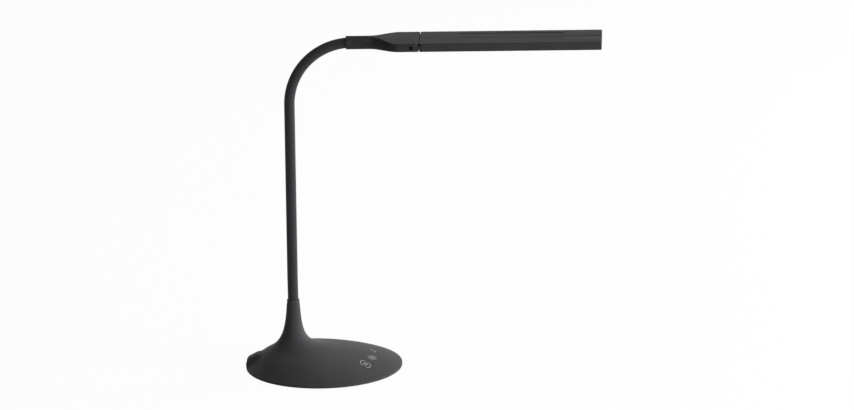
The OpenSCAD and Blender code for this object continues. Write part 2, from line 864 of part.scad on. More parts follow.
module led_chips(side) {
    pitch = (strip_l - 2*chip_inset)/(chips - 1);
    z = cavity_top - strip_t - chip[2];
    color(chip_yellow) at_bar(side)
        for (i = [0:chips - 1])
            translate([strip_x + chip_inset + i*pitch - chip[0]/2, bar_w/2 - chip[1]/2, z]) cube(chip);
}

// Cap on the free end of a bar, its upright corners rounded, with a plug inside the bar
cap_step = 0.2;
cap_corner_r = cap_t - cap_step;
module end_cap(side) {
    color(black) at_bar(side) {
        intersection() {
            translate([bar_l - cap_t, 0, 0]) bar_section(cap_t);
            translate([bar_l - 4*cap_t, 0, -head_t]) linear_extrude(2*head_t)
                round_rect(4*cap_t, bar_w, cap_corner_r);
        }
        translate([bar_l - cap_t - plug_l, (bar_w - cavity_w)/2, diffuser_z + diffuser_t])
            cube([plug_l, cavity_w, cavity_top - diffuser_z - diffuser_t]);
    }
}

base_shell();
base_plate();
rubber_feet();
plate_screws();
ballast_disc();
control_board();
touch_pads();
socket_bezel();
power_socket();
socket_pin();
neck_nut();
neck_collar();
neck_core(0);  // neck_core_0
neck_core(1);  // neck_core_1
neck_core(2);  // neck_core_2
neck_core(3);  // neck_core_3
neck_core(4);  // neck_core_4
neck_core(5);  // neck_core_5
neck_core(6);  // neck_core_6
neck_sleeve(0);  // neck_sleeve_0
neck_sleeve(1);  // neck_sleeve_1
neck_sleeve(2);  // neck_sleeve_2
neck_sleeve(3);  // neck_sleeve_3
neck_sleeve(4);  // neck_sleeve_4
neck_sleeve(5);  // neck_sleeve_5
neck_sleeve(6);  // neck_sleeve_6
neck_ferrule();
coupling_ring();
coupling_top();
coupling_bottom();
coupling_screws();
hinge_pin(left);  // hinge_pin_left
hinge_pin(right);  // hinge_pin_right
bar_housing(left);  // bar_housing_left
bar_housing(right);  // bar_housing_right
diffuser(left);  // diffuser_left
diffuser(right);  // diffuser_right
led_strip(left);  // led_strip_left
led_strip(right);  // led_strip_right
led_chips(left);  // led_chips_left
led_chips(right);  // led_chips_right
end_cap(left);  // end_cap_left
end_cap(right);  // end_cap_right
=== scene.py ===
"""A folding LED desk lamp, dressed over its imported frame.

The frame holds the pieces, bodies and joints. This script models the visible skins, gives
every piece its finish, and sets the floor, the light and the camera. All lengths are in
metres in the lamp's own frame: X forward, Z up, the origin under the centre of the base.
"""

from __future__ import annotations

import logging
import math
from dataclasses import dataclass, field
from enum import Enum
from typing import Callable, Iterable, Sequence

import bmesh
import bpy
from mathutils import Matrix, Quaternion, Vector
from mathutils.bvhtree import BVHTree


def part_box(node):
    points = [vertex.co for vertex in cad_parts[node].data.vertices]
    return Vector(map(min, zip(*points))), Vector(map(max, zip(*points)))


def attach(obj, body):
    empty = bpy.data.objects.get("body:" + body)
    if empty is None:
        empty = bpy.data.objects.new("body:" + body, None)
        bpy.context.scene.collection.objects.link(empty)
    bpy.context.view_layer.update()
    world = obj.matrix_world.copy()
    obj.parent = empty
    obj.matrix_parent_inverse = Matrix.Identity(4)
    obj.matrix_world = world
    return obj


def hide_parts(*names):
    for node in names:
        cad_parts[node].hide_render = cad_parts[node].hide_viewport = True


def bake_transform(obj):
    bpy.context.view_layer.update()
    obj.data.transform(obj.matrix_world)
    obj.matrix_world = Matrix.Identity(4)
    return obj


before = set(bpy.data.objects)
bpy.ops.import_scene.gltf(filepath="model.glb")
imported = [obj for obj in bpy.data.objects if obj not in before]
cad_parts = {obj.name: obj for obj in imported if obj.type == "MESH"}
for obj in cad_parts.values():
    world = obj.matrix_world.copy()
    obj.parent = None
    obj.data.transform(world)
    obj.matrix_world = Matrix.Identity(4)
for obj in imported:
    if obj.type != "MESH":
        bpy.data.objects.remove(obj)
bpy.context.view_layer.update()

MM = 0.001
LOG = logging.getLogger("lamp")
Section = Callable[[float], Vector]
Colour = tuple[float, float, float, float]
Socket = bpy.types.NodeSocket
Tree = bpy.types.NodeTree
Mesh = bmesh.types.BMesh


class Side(Enum):
    """Side of the lamp, as its sign along Y."""

    LEFT = 1
    RIGHT = -1

    @property
    def word(self) -> str:
        """The side's word in the names of pieces and bodies."""
        return self.name.lower()


class Joining(Enum):
    """How one solid is joined with another."""

    ADD = "UNION"
    CUT = "DIFFERENCE"
    KEEP = "INTERSECT"


class KeyMark(Enum):
    """Plain mark printed over a touch key."""

    TUBES = "tubes"
    SUN = "sun"
    WARMTH = "warmth"


# Mesh tools


def ring_edges(verts: Sequence[bmesh.types.BMVert]) -> list[bmesh.types.BMEdge]:
    """Gives the edges that run between vertices of one set.

    Args:
        verts: The vertices of a ring.

    Returns:
        The ring's edges.
    """
    members = set(verts)
    return list({e for v in verts for e in v.link_edges if e.other_vert(v) in members})


def loft(bm: Mesh, sections: Iterable[Section], sides: int) -> None:
    """Draws a closed skin through ring after ring and caps both ends.

    Args:
        bm: The mesh to add to.
        sections: For each ring, a function from the turn round it to a point.
        sides: Number of points in a ring.
    """
    turn = bm.verts.layers.float.new("turn")
    ring = bmesh.ops.create_circle(bm, cap_ends=False, segments=sides, radius=1.0)["verts"]
    for v in ring:
        v[turn] = math.atan2(v.co.y, v.co.x)
    ends = []
    for i, section in enumerate(sections):
        if i:
            made = bmesh.ops.extrude_edge_only(bm, edges=ring_edges(ring))["geom"]
            ring = [g for g in made if isinstance(g, bmesh.types.BMVert)]
        for v in ring:
            v.co = section(v[turn])
        if i == 0:
            ends.append(list(ring))
    ends.append(ring)
    for end in ends:
        bmesh.ops.contextual_create(bm, geom=ring_edges(end))
    bmesh.ops.recalc_face_normals(bm, faces=bm.faces)


def turned(
    bm: Mesh, profile: Sequence[tuple[float, float]], centre: Vector, steps: int
) -> None:
    """Turns a closed profile about an upright axis.

    Args:
        bm: The mesh to add to.
        profile: Points of radius and height, in order round the section.
        centre: A point on the axis, from which heights count.
        steps: Number of steps round the axis.
    """
    verts = [bm.verts.new(centre + Vector((r, 0.0, z))) for r, z in profile]
    edges = [bm.edges.new(pair) for pair in zip(verts, verts[1:] + verts[:1])]
    bmesh.ops.spin(
        bm,
        geom=verts + edges,
        cent=centre,
        axis=(0.0, 0.0, 1.0),
        dvec=(0.0, 0.0, 0.0),
        angle=math.tau,
        steps=steps,
        use_merge=True,
        use_duplicate=False,
    )
    bmesh.ops.remove_doubles(bm, verts=bm.verts, dist=1e-7)
    bmesh.ops.recalc_face_normals(bm, faces=bm.faces)


def block(bm: Mesh, low: Vector, high: Vector) -> list[bmesh.types.BMVert]:
    """Adds a rectangular block between two corners.

    Args:
        bm: The mesh to add to.
        low: Lowest corner.
        high: Highest corner.

    Returns:
        The block's vertices.
    """
    size = high - low
    place = Matrix.Translation((low + high) / 2) @ Matrix.Diagonal((*size, 1.0))
    return bmesh.ops.create_cube(bm, size=1.0, matrix=place)["verts"]


def lone_block(low: Vector, high: Vector) -> Mesh:
    """Makes a mesh that holds one block.

    Args:
        low: Lowest corner.
        high: Highest corner.

    Returns:
        The new mesh.
    """
    bm = bmesh.new()
    block(bm, low, high)
    return bm


def drum(
    bm: Mesh, centre: Vector, radius: float, depth: float, turn: Matrix | None = None
) -> list[bmesh.types.BMVert]:
    """Adds a closed cylinder, upright unless it is turned.

    Args:
        bm: The mesh to add to.
        centre: Middle of the cylinder.
        radius: Its radius.
        depth: Its length.
        turn: How it is turned from upright.

    Returns:
        The cylinder's vertices.
    """
    place = Matrix.Translation(centre) @ (turn or Matrix.Identity(4))
    return bmesh.ops.create_cone(
        bm, cap_ends=True, segments=64, radius1=radius, radius2=radius, depth=depth, matrix=place
    )["verts"]


def round_edges(
    bm: Mesh, wanted: Callable[[bmesh.types.BMEdge], bool], radius: float, steps: int
) -> None:
    """Rounds the edges that a test picks.

    Args:
        bm: The mesh to change.
        wanted: Says whether an edge is rounded.
        radius: Radius of the rounding.
        steps: Number of faces across it.
    """
    bmesh.ops.bevel(
        bm,
        geom=[e for e in bm.edges if wanted(e)],
        offset=radius,
        offset_type="OFFSET",
        segments=steps,
        profile=0.5,
        affect="EDGES",
        material=-1,
        clamp_overlap=True,
    )


def to_piece(bm: Mesh, name: str) -> bpy.types.Object:
    """Makes a scene object of a mesh under work.

    Args:
        bm: The mesh, which is freed.
        name: Name of the piece.

    Returns:
        The new object, at the origin.
    """
    mesh = bpy.data.meshes.new(name)
    bm.normal_update()
    bm.to_mesh(mesh)
    bm.free()
    piece = bpy.data.objects.new(name, mesh)
    bpy.context.scene.collection.objects.link(piece)
    return piece


def lone_drum(
    centre: Vector, radius: float, depth: float, turn: Matrix | None = None
) -> Mesh:
    """Makes a mesh that holds one closed cylinder.

    Args:
        centre: Middle of the cylinder.
        radius: Its radius.
        depth: Its length.
        turn: How it is turned from upright.

    Returns:
        The new mesh.
    """
    bm = bmesh.new()
    drum(bm, centre, radius, depth, turn)
    return bm


def back_to_mesh(piece: bpy.types.Object) -> Mesh:
    """Takes a piece's mesh back under work and removes the piece.

    Args:
        piece: The piece, which is used up.

    Returns:
        Its mesh.
    """
    bm = bmesh.new()
    bm.from_mesh(piece.data)
    used = piece.data
    bpy.data.objects.remove(piece, do_unlink=True)
    bpy.data.meshes.remove(used)
    return bm


def carve(piece: bpy.types.Object, tool: Mesh, how: Joining) -> None:
    """Joins a solid to a piece, cuts it away or keeps what both share.

    Args:
        piece: The piece to change.
        tool: The other solid, which is used up.
        how: The joining.
    """
    helper = to_piece(tool, "carving_tool")
    step = piece.modifiers.new("carve", "BOOLEAN")
    step.operation = how.value
    step.solver = "EXACT"
    step.object = helper
    ready = piece.evaluated_get(bpy.context.evaluated_depsgraph_get())
    carved = bpy.data.meshes.new_from_object(ready)
    piece.modifiers.clear()
    old, piece.data = piece.data, carved
    used = helper.data
    bpy.data.objects.remove(helper, do_unlink=True)
    bpy.data.meshes.remove(old)
    bpy.data.meshes.remove(used)


def smooth(piece: bpy.types.Object, sharp_from: float = 35.0) -> None:
    """Shades a piece smooth, apart from its sharp edges.

    Args:
        piece: The piece to shade.
        sharp_from: Angle in degrees from which an edge stays sharp.
    """
    piece.data.shade_smooth()
    piece.data.set_sharp_from_angle(angle=math.radians(sharp_from))


def place_piece(
    piece: bpy.types.Object,
    finish: bpy.types.Material,
    body: str | tuple[str, str, Vector, Vector],
    nodes: Sequence[str] = (),
) -> None:
    """Gives a piece its material and, when one body is given, the body that it rides on.

    Args:
        piece: The finished piece.
        finish: Its material.
        body: A body, or two bodies with two points; with two bodies the piece is only fixed in
            place and does not bend.
        nodes: The frame's nodes that the piece stands for.
    """
    piece.data.materials.clear()
    piece.data.materials.append(finish)
    if isinstance(body, str):
        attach(piece, body)
    else:
        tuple(body[2])
        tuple(body[3])
        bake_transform(piece)
    if nodes:
        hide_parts(*nodes)
    LOG.info("%s made, %d faces", piece.name, len(piece.data.polygons))


# Shader tools


def srgb(red: float, green: float, blue: float) -> Colour:
    """Turns a colour seen on a screen, 0 to 255, into the shader's linear one.

    Args:
        red: Red from 0 to 255.
        green: Green from 0 to 255.
        blue: Blue from 0 to 255.

    Returns:
        The linear colour with full alpha.
    """
    linear = [
        c / 12.92 if c <= 0.04045 else ((c + 0.055) / 1.055) ** 2.4
        for c in (red / 255, green / 255, blue / 255)
    ]
    return (linear[0], linear[1], linear[2], 1.0)


def shade_step(
    tree: Tree, kind: str, values: dict[str | int, object] | None = None, **settings: object
) -> bpy.types.Node:
    """Adds a node to a shader and sets its values.

    Args:
        tree: The shader or group.
        kind: The node's type, without its first word.
        values: Socket name or number to a plain value or to the output that feeds it.
        **settings: The node's own settings.

    Returns:
        The new node.
    """
    node = tree.nodes.new("ShaderNode" + kind)
    for name, value in settings.items():
        setattr(node, name, value)
    for key, value in (values or {}).items():
        if isinstance(value, Socket):
            tree.links.new(value, node.inputs[key])
        else:
            node.inputs[key].default_value = value
    return node


def sum_step(tree: Tree, operation: str, *terms: object, clamp: bool = False) -> Socket:
    """Adds a sum to a shader.

    Args:
        tree: The shader or group.
        operation: The kind of sum.
        *terms: Plain values, or the outputs that give them.
        clamp: Whether the result stays between 0 and 1.

    Returns:
        The result's output.
    """
    values = dict(enumerate(terms))
    node = shade_step(tree, "Math", values, operation=operation, use_clamp=clamp)
    return node.outputs[0]


def noise_step(tree: Tree, place: Socket, scale: object, detail: float, **more: float) -> Socket:
    """Adds a noise pattern to a shader.

    Args:
        tree: The shader or group.
        place: The output that gives the place.
        scale: The pattern's scale, or the output that gives it.
        detail: The pattern's detail.
        **more: Other values of the pattern, by name.

    Returns:
        The pattern's output.
    """
    values = {"Vector": place, "Scale": scale, "Detail": detail, **more}
    return shade_step(tree, "TexNoise", values).outputs["Fac"]


def range_step(tree: Tree, value: Socket, **ends: object) -> Socket:
    """Adds a change of range to a shader.

    Args:
        tree: The shader or group.
        value: The output to change.
        **ends: Ends of the ranges: from_min, from_max, to_min or to_max.

    Returns:
        The result's output.
    """
    named = {name.replace("_", " ").title(): end for name, end in ends.items()}
    return shade_step(tree, "MapRange", {"Value": value, **named}).outputs["Result"]


def object_place(tree: Tree) -> Socket:
    """Gives the output of a place on the object."""
    return tree.nodes.new("ShaderNodeTexCoord").outputs["Object"]


def use_group(tree: Tree, group: Tree, **amounts: float) -> bpy.types.Node:
    """Places a shared effect in a shader.

    Args:
        tree: The shader.
        group: The effect's node group.
        **amounts: Values of its inputs, by name.

    Returns:
        The group's node.
    """
    node = shade_step(tree, "Group", node_tree=group)
    for name, amount in amounts.items():
        node.inputs[name.replace("_", " ").title()].default_value = amount
    return node


def new_material(name: str) -> tuple[bpy.types.Material, Tree, bpy.types.Node]:
    """Starts a material.

    Args:
        name: Name of the material.

    Returns:
        The material, its shader and its surface node.
    """
    made = bpy.data.materials.new(name)
    made.use_nodes = True
    return made, made.node_tree, made.node_tree.nodes["Principled BSDF"]


def raise_surface(tree: Tree, height: Socket, strength: float, depth: float) -> None:
    """Gives a surface its fine relief.

    Args:
        tree: The shader.
        height: The output that gives the height.
        strength: Strength of the relief.
        depth: Its depth.
    """
    bump = shade_step(tree, "Bump", {"Height": height, "Strength": strength, "Distance": depth})
    tree.links.new(bump.outputs["Normal"], tree.nodes["Principled BSDF"].inputs["Normal"])


def mix_colours(tree: Tree, mask: Socket, first: object, second: object) -> Socket:
    """Mixes two colours by a mask.

    Args:
        tree: The shader.
        mask: The mask's output.
        first: Colour, or the output that gives it, where the mask is 0.
        second: The same where it is 1.

    Returns:
        The mixed colour's output.
    """
    mix = shade_step(tree, "Mix", data_type="RGBA", clamp_factor=True)
    tree.links.new(mask, mix.inputs[0])
    for number, value in ((6, first), (7, second)):
        if isinstance(value, Socket):
            tree.links.new(value, mix.inputs[number])
        else:
            mix.inputs[number].default_value = value
    return mix.outputs[2]


def new_group(
    name: str, inputs: dict[str, float], outputs: Sequence[str]
) -> tuple[Tree, bpy.types.Node, bpy.types.Node]:
    """Starts a shader node group with number sockets.

    Args:
        name: Name of the group.
        inputs: Input name to its usual value.
        outputs: Names of the outputs.

    Returns:
        The group, its input node and its output node.
    """
    group = bpy.data.node_groups.new(name, "ShaderNodeTree")
    for title, value in inputs.items():
        socket = group.interface.new_socket(title, in_out="INPUT", socket_type="NodeSocketFloat")
        socket.default_value = value
    for title in outputs:
        group.interface.new_socket(title, in_out="OUTPUT", socket_type="NodeSocketFloat")
    return group, group.nodes.new("NodeGroupInput"), group.nodes.new("NodeGroupOutput")


class SharedEffects:
    """The effects that several finishes use, each a node group built once."""

    def __init__(self) -> None:
        """Builds the groups."""
        self.grain = self._grain()
        self.handling = self._handling()
        self.dust = self._dust()
        self.rub = self._rub()

    def _grain(self) -> Tree:
        """Fine moulding grain: a height and a slight change of tone."""
        group, given, out = new_group(
            "fine_grain", {"Scale": 2600.0, "Patch Scale": 60.0}, ("Height", "Tone")
        )
        place, scale = object_place(group), given.outputs["Scale"]
        fine = noise_step(group, place, scale, 3.0, Roughness=0.6)
        cells = shade_step(group, "TexVoronoi", {"Vector": place, "Scale": scale})
        height = sum_step(group, "ADD", fine, cells.outputs["Distance"])
        patch = noise_step(group, place, given.outputs["Patch Scale"], 2.0)
        group.links.new(height, out.inputs["Height"])
        group.links.new(patch, out.inputs["Tone"])
        return group

    def _handling(self) -> Tree:
        """Faint marks of hands: soft patches where the gloss differs."""
        group, given, out = new_group("handling", {"Scale": 22.0, "Contrast": 0.5}, ("Mask",))
        broad = noise_step(group, object_place(group), given.outputs["Scale"], 4.0, Distortion=0.6)
        centred = sum_step(group, "SUBTRACT", broad, 0.5)
        mask = sum_step(group, "MULTIPLY_ADD", centred, given.outputs["Contrast"], 0.5, clamp=True)
        group.links.new(mask, out.inputs["Mask"])
        return group

    def _dust(self) -> Tree:
        """Settled dust: specks on faces that look up."""
        group, given, out = new_group("settled_dust", {"Scale": 900.0, "Amount": 0.3}, ("Mask",))
        place = group.nodes.new("ShaderNodeTexCoord")
        parts = shade_step(group, "SeparateXYZ", {"Vector": place.outputs["Normal"]})
        upward = range_step(group, parts.outputs["Z"], from_min=0.45, from_max=0.95)
        specks = noise_step(group, place.outputs["Object"], given.outputs["Scale"], 1.0)
        sparse = range_step(group, specks, from_min=0.6, from_max=0.78)
        lying = sum_step(group, "MULTIPLY", upward, sparse)
        mask = sum_step(group, "MULTIPLY", lying, given.outputs["Amount"])
        group.links.new(mask, out.inputs["Mask"])
        return group

    def _rub(self) -> Tree:
        """Rubbed edges: a mask on the convex edges, broken up by noise."""
        group, given, out = new_group("rubbed_edges", {"Reach": 0.04, "Amount": 0.5}, ("Mask",))
        flat = 0.52
        shape = group.nodes.new("ShaderNodeNewGeometry")
        top = sum_step(group, "ADD", given.outputs["Reach"], flat)
        edge = range_step(group, shape.outputs["Pointiness"], from_min=flat, from_max=top)
        broken = noise_step(group, object_place(group), 180.0, 4.0)
        worn = sum_step(group, "MULTIPLY", edge, broken)
        mask = sum_step(group, "MULTIPLY", worn, given.outputs["Amount"])
        group.links.new(mask, out.inputs["Mask"])
        return group


@dataclass(frozen=True)
class Moulded:
    """A moulded or coated surface: plastic, silicone, rubber or powder coat."""

    name: str
    colour: Colour
    lighter: Colour
    roughness: float = 0.5
    roughness_change: float = 0.08
    grain_scale: float = 2600.0
    grain_depth: float = 0.00001
    patch_scale: float = 60.0
    dust: float = 0.12
    rub: float = 0.2
    specular: float = 0.5
    sheen: float = 0.0
    worn_gain: float = 2.2

    def material(self, effects: SharedEffects) -> bpy.types.Material:
        """Builds the material.

        Args:
            effects: The shared node groups.

        Returns:
            The material.
        """
        made, tree, surface = new_material(self.name)
        grain = use_group(
            tree, effects.grain, scale=self.grain_scale, patch_scale=self.patch_scale
        )
        handling = use_group(tree, effects.handling)
        dust = use_group(tree, effects.dust, amount=self.dust)
        rub = use_group(tree, effects.rub, amount=self.rub)
        worn = tuple(min(1.0, c * self.worn_gain) for c in self.lighter[:3]) + (1.0,)
        base = mix_colours(tree, grain.outputs["Tone"], self.colour, self.lighter)
        rubbed = mix_colours(tree, rub.outputs["Mask"], base, worn)
        dusty = mix_colours(tree, dust.outputs["Mask"], rubbed, srgb(150, 148, 144))
        gloss = range_step(
            tree,
            handling.outputs["Mask"],
            to_min=self.roughness - self.roughness_change,
            to_max=self.roughness + self.roughness_change,
        )
        tree.links.new(dusty, surface.inputs["Base Color"])
        tree.links.new(gloss, surface.inputs["Roughness"])
        raise_surface(tree, grain.outputs["Height"], 0.5, self.grain_depth)
        surface.inputs["Specular IOR Level"].default_value = self.specular
        surface.inputs["Sheen Weight"].default_value = self.sheen
        surface.inputs["Sheen Roughness"].default_value = 0.6
        return made


@dataclass(frozen=True)
class Machined:
    """Bare metal with fine tool marks."""

    name: str
    colour: Colour
    roughness: float = 0.32
    stretch: tuple[float, float, float] = (300.0, 300.0, 4000.0)

    def material(self, effects: SharedEffects) -> bpy.types.Material:
        """Builds the material.

        Args:
            effects: The shared node groups.

        Returns:
            The material.
        """
        made, tree, surface = new_material(self.name)
        place = object_place(tree)
        drawn = shade_step(tree, "Mapping", {"Vector": place, "Scale": self.stretch})
        marks = noise_step(tree, drawn.outputs["Vector"], 1.0, 3.0)
        handling = use_group(tree, effects.handling)
        darker = tuple(c * 0.8 for c in self.colour[:3]) + (1.0,)
        gloss = range_step(
            tree,
            handling.outputs["Mask"],
            to_min=self.roughness - 0.06,
            to_max=self.roughness + 0.1,
        )
        tree.links.new(mix_colours(tree, marks, darker, self.colour), surface.inputs["Base Color"])
        tree.links.new(gloss, surface.inputs["Roughness"])
        raise_surface(tree, marks, 0.4, 0.00001)
        surface.inputs["Metallic"].default_value = 1.0
        return made


@dataclass(frozen=True)
class Frosted:
    """Milky diffuser, through which the row of chips shows as faint dots."""

    name: str
    first_x: float
    pitch: float
    row_y: float
    colour: Colour = field(default_factory=lambda: srgb(226, 227, 222))

    def material(self, effects: SharedEffects) -> bpy.types.Material:
        """Builds the material.

        Args:
            effects: The shared node groups.

        Returns:
            The material.
        """
        made, tree, surface = new_material(self.name)
        half = self.pitch / 2
        parts = shade_step(tree, "SeparateXYZ", {"Vector": object_place(tree)})
        along = sum_step(tree, "SUBTRACT", parts.outputs["X"], self.first_x - half)
        cell = sum_step(tree, "MODULO", along, self.pitch)
        off_x = sum_step(tree, "SUBTRACT", cell, half)
        sideways = sum_step(tree, "ABSOLUTE", parts.outputs["Y"])
        off_y = sum_step(tree, "SUBTRACT", sideways, self.row_y)
        spot = shade_step(tree, "CombineXYZ", {"X": off_x, "Y": off_y})
        reach = shade_step(tree, "VectorMath", {0: spot.outputs[0]}, operation="LENGTH")
        ends = {"From Min": 0.5 * MM, "From Max": 3.2 * MM, "To Min": 1.0, "To Max": 0.0}
        glow = shade_step(
            tree,
            "MapRange",
            {"Value": reach.outputs["Value"], **ends},
            interpolation_type="SMOOTHERSTEP",
        )
        grain = use_group(tree, effects.grain)
        warm = mix_colours(tree, glow.outputs["Result"], self.colour, srgb(222, 206, 158))
        cloudy = mix_colours(tree, grain.outputs["Tone"], warm, self.colour)
        tree.links.new(cloudy, surface.inputs["Base Color"])
        raise_surface(tree, grain.outputs["Height"], 0.3, 0.00001)
        surface.inputs["Roughness"].default_value = 0.42
        surface.inputs["Subsurface Weight"].default_value = 0.25
        surface.inputs["Subsurface Scale"].default_value = 0.002
        return made


@dataclass(frozen=True)
class CircuitBoard:
    """Solder mask over copper tracks."""

    name: str
    mask: Colour
    track: Colour

    def material(self, effects: SharedEffects) -> bpy.types.Material:
        """Builds the material.

        Args:
            effects: The shared node groups.

        Returns:
            The material.
        """
        made, tree, surface = new_material(self.name)
        values = {"Scale": 240.0, "Mortar Size": 0.06, "Mortar Smooth": 0.3}
        tracks = shade_step(tree, "TexBrick", {"Vector": object_place(tree), **values})
        pattern = tracks.outputs["Fac"]
        handling = use_group(tree, effects.handling)
        gloss = range_step(tree, handling.outputs["Mask"], to_min=0.25, to_max=0.4)
        colour = mix_colours(tree, pattern, self.mask, self.track)
        tree.links.new(colour, surface.inputs["Base Color"])
        tree.links.new(gloss, surface.inputs["Roughness"])
        raise_surface(tree, pattern, 0.5, 0.00003)
        return made


class Finishes:
    """Every finish of the lamp, as materials."""

    def __init__(self, effects: SharedEffects) -> None:
        """Builds the materials.

        Args:
            effects: The shared node groups.
        """
        self.shell = Moulded(
            "soft_touch_shell", srgb(63, 63, 65), srgb(68, 68, 70), roughness=0.45, specular=0.03
        ).material(effects)
        self.head = Moulded(
            "fine_matt_head",
            srgb(53, 53, 55),
            srgb(58, 58, 60),
            roughness=0.5,
            specular=0.02,
            grain_scale=3200.0,
        ).material(effects)
        self.sleeve = Moulded(
            "silicone_sleeve",
            srgb(50, 50, 53),
            srgb(55, 55, 58),
            roughness=0.45,
            specular=0.05,
            grain_depth=0.000006,
            sheen=0.06,
            dust=0.2,
            rub=0.0,
        ).material(effects)
        self.feet = Moulded(
            "dark_rubber",
            srgb(34, 34, 35),
            srgb(44, 44, 45),
            roughness=0.78,
            grain_scale=1800.0,
            dust=0.25,
        ).material(effects)
        self.plate = Moulded(
            "powder_coat",
            srgb(46, 46, 47),
            srgb(52, 52, 53),
            roughness=0.55,
            grain_scale=1100.0,
            grain_depth=0.00004,
            dust=0.05,
        ).material(effects)
        self.foam = Moulded(
            "contact_foam",
            srgb(96, 96, 98),
            srgb(120, 120, 122),
            roughness=0.9,
            grain_scale=1400.0,
            grain_depth=0.0001,
        ).material(effects)
        self.socket = Moulded(
            "socket_black", srgb(26, 26, 27), srgb(32, 32, 33), roughness=0.38, dust=0.05
        ).material(effects)
        self.ink = Moulded(
            "key_print",
            srgb(172, 173, 176),
            srgb(184, 185, 188),
            roughness=0.55,
            grain_depth=0.000004,
            rub=0.0,
        ).material(effects)
        self.phosphor = Moulded(
            "chip_phosphor",
            srgb(232, 205, 110),
            srgb(238, 214, 130),
            roughness=0.4,
            dust=0.0,
            rub=0.0,
        ).material(effects)
        self.steel = Machined("machined_steel", srgb(196, 197, 200)).material(effects)
        self.brass = Machined("turned_brass", srgb(214, 184, 116), roughness=0.28).material(effects)
        self.board = CircuitBoard(
            "control_board_mask", srgb(24, 92, 58), srgb(44, 120, 76)
        ).material(effects)
        self.strip = CircuitBoard(
            "strip_board_mask", srgb(232, 233, 231), srgb(214, 214, 210)
        ).material(effects)

    def frost(self, effects: SharedEffects, bar: LightBar) -> bpy.types.Material:
        """Builds the diffuser's material for the spacing of a bar's chips.

        Args:
            effects: The shared node groups.
            bar: A light bar.

        Returns:
            The material.
        """
        lens = Frosted("milky_diffuser", bar.first_chip_x, bar.chip_pitch, bar.row_y)
        return lens.material(effects)


# Sub-assemblies


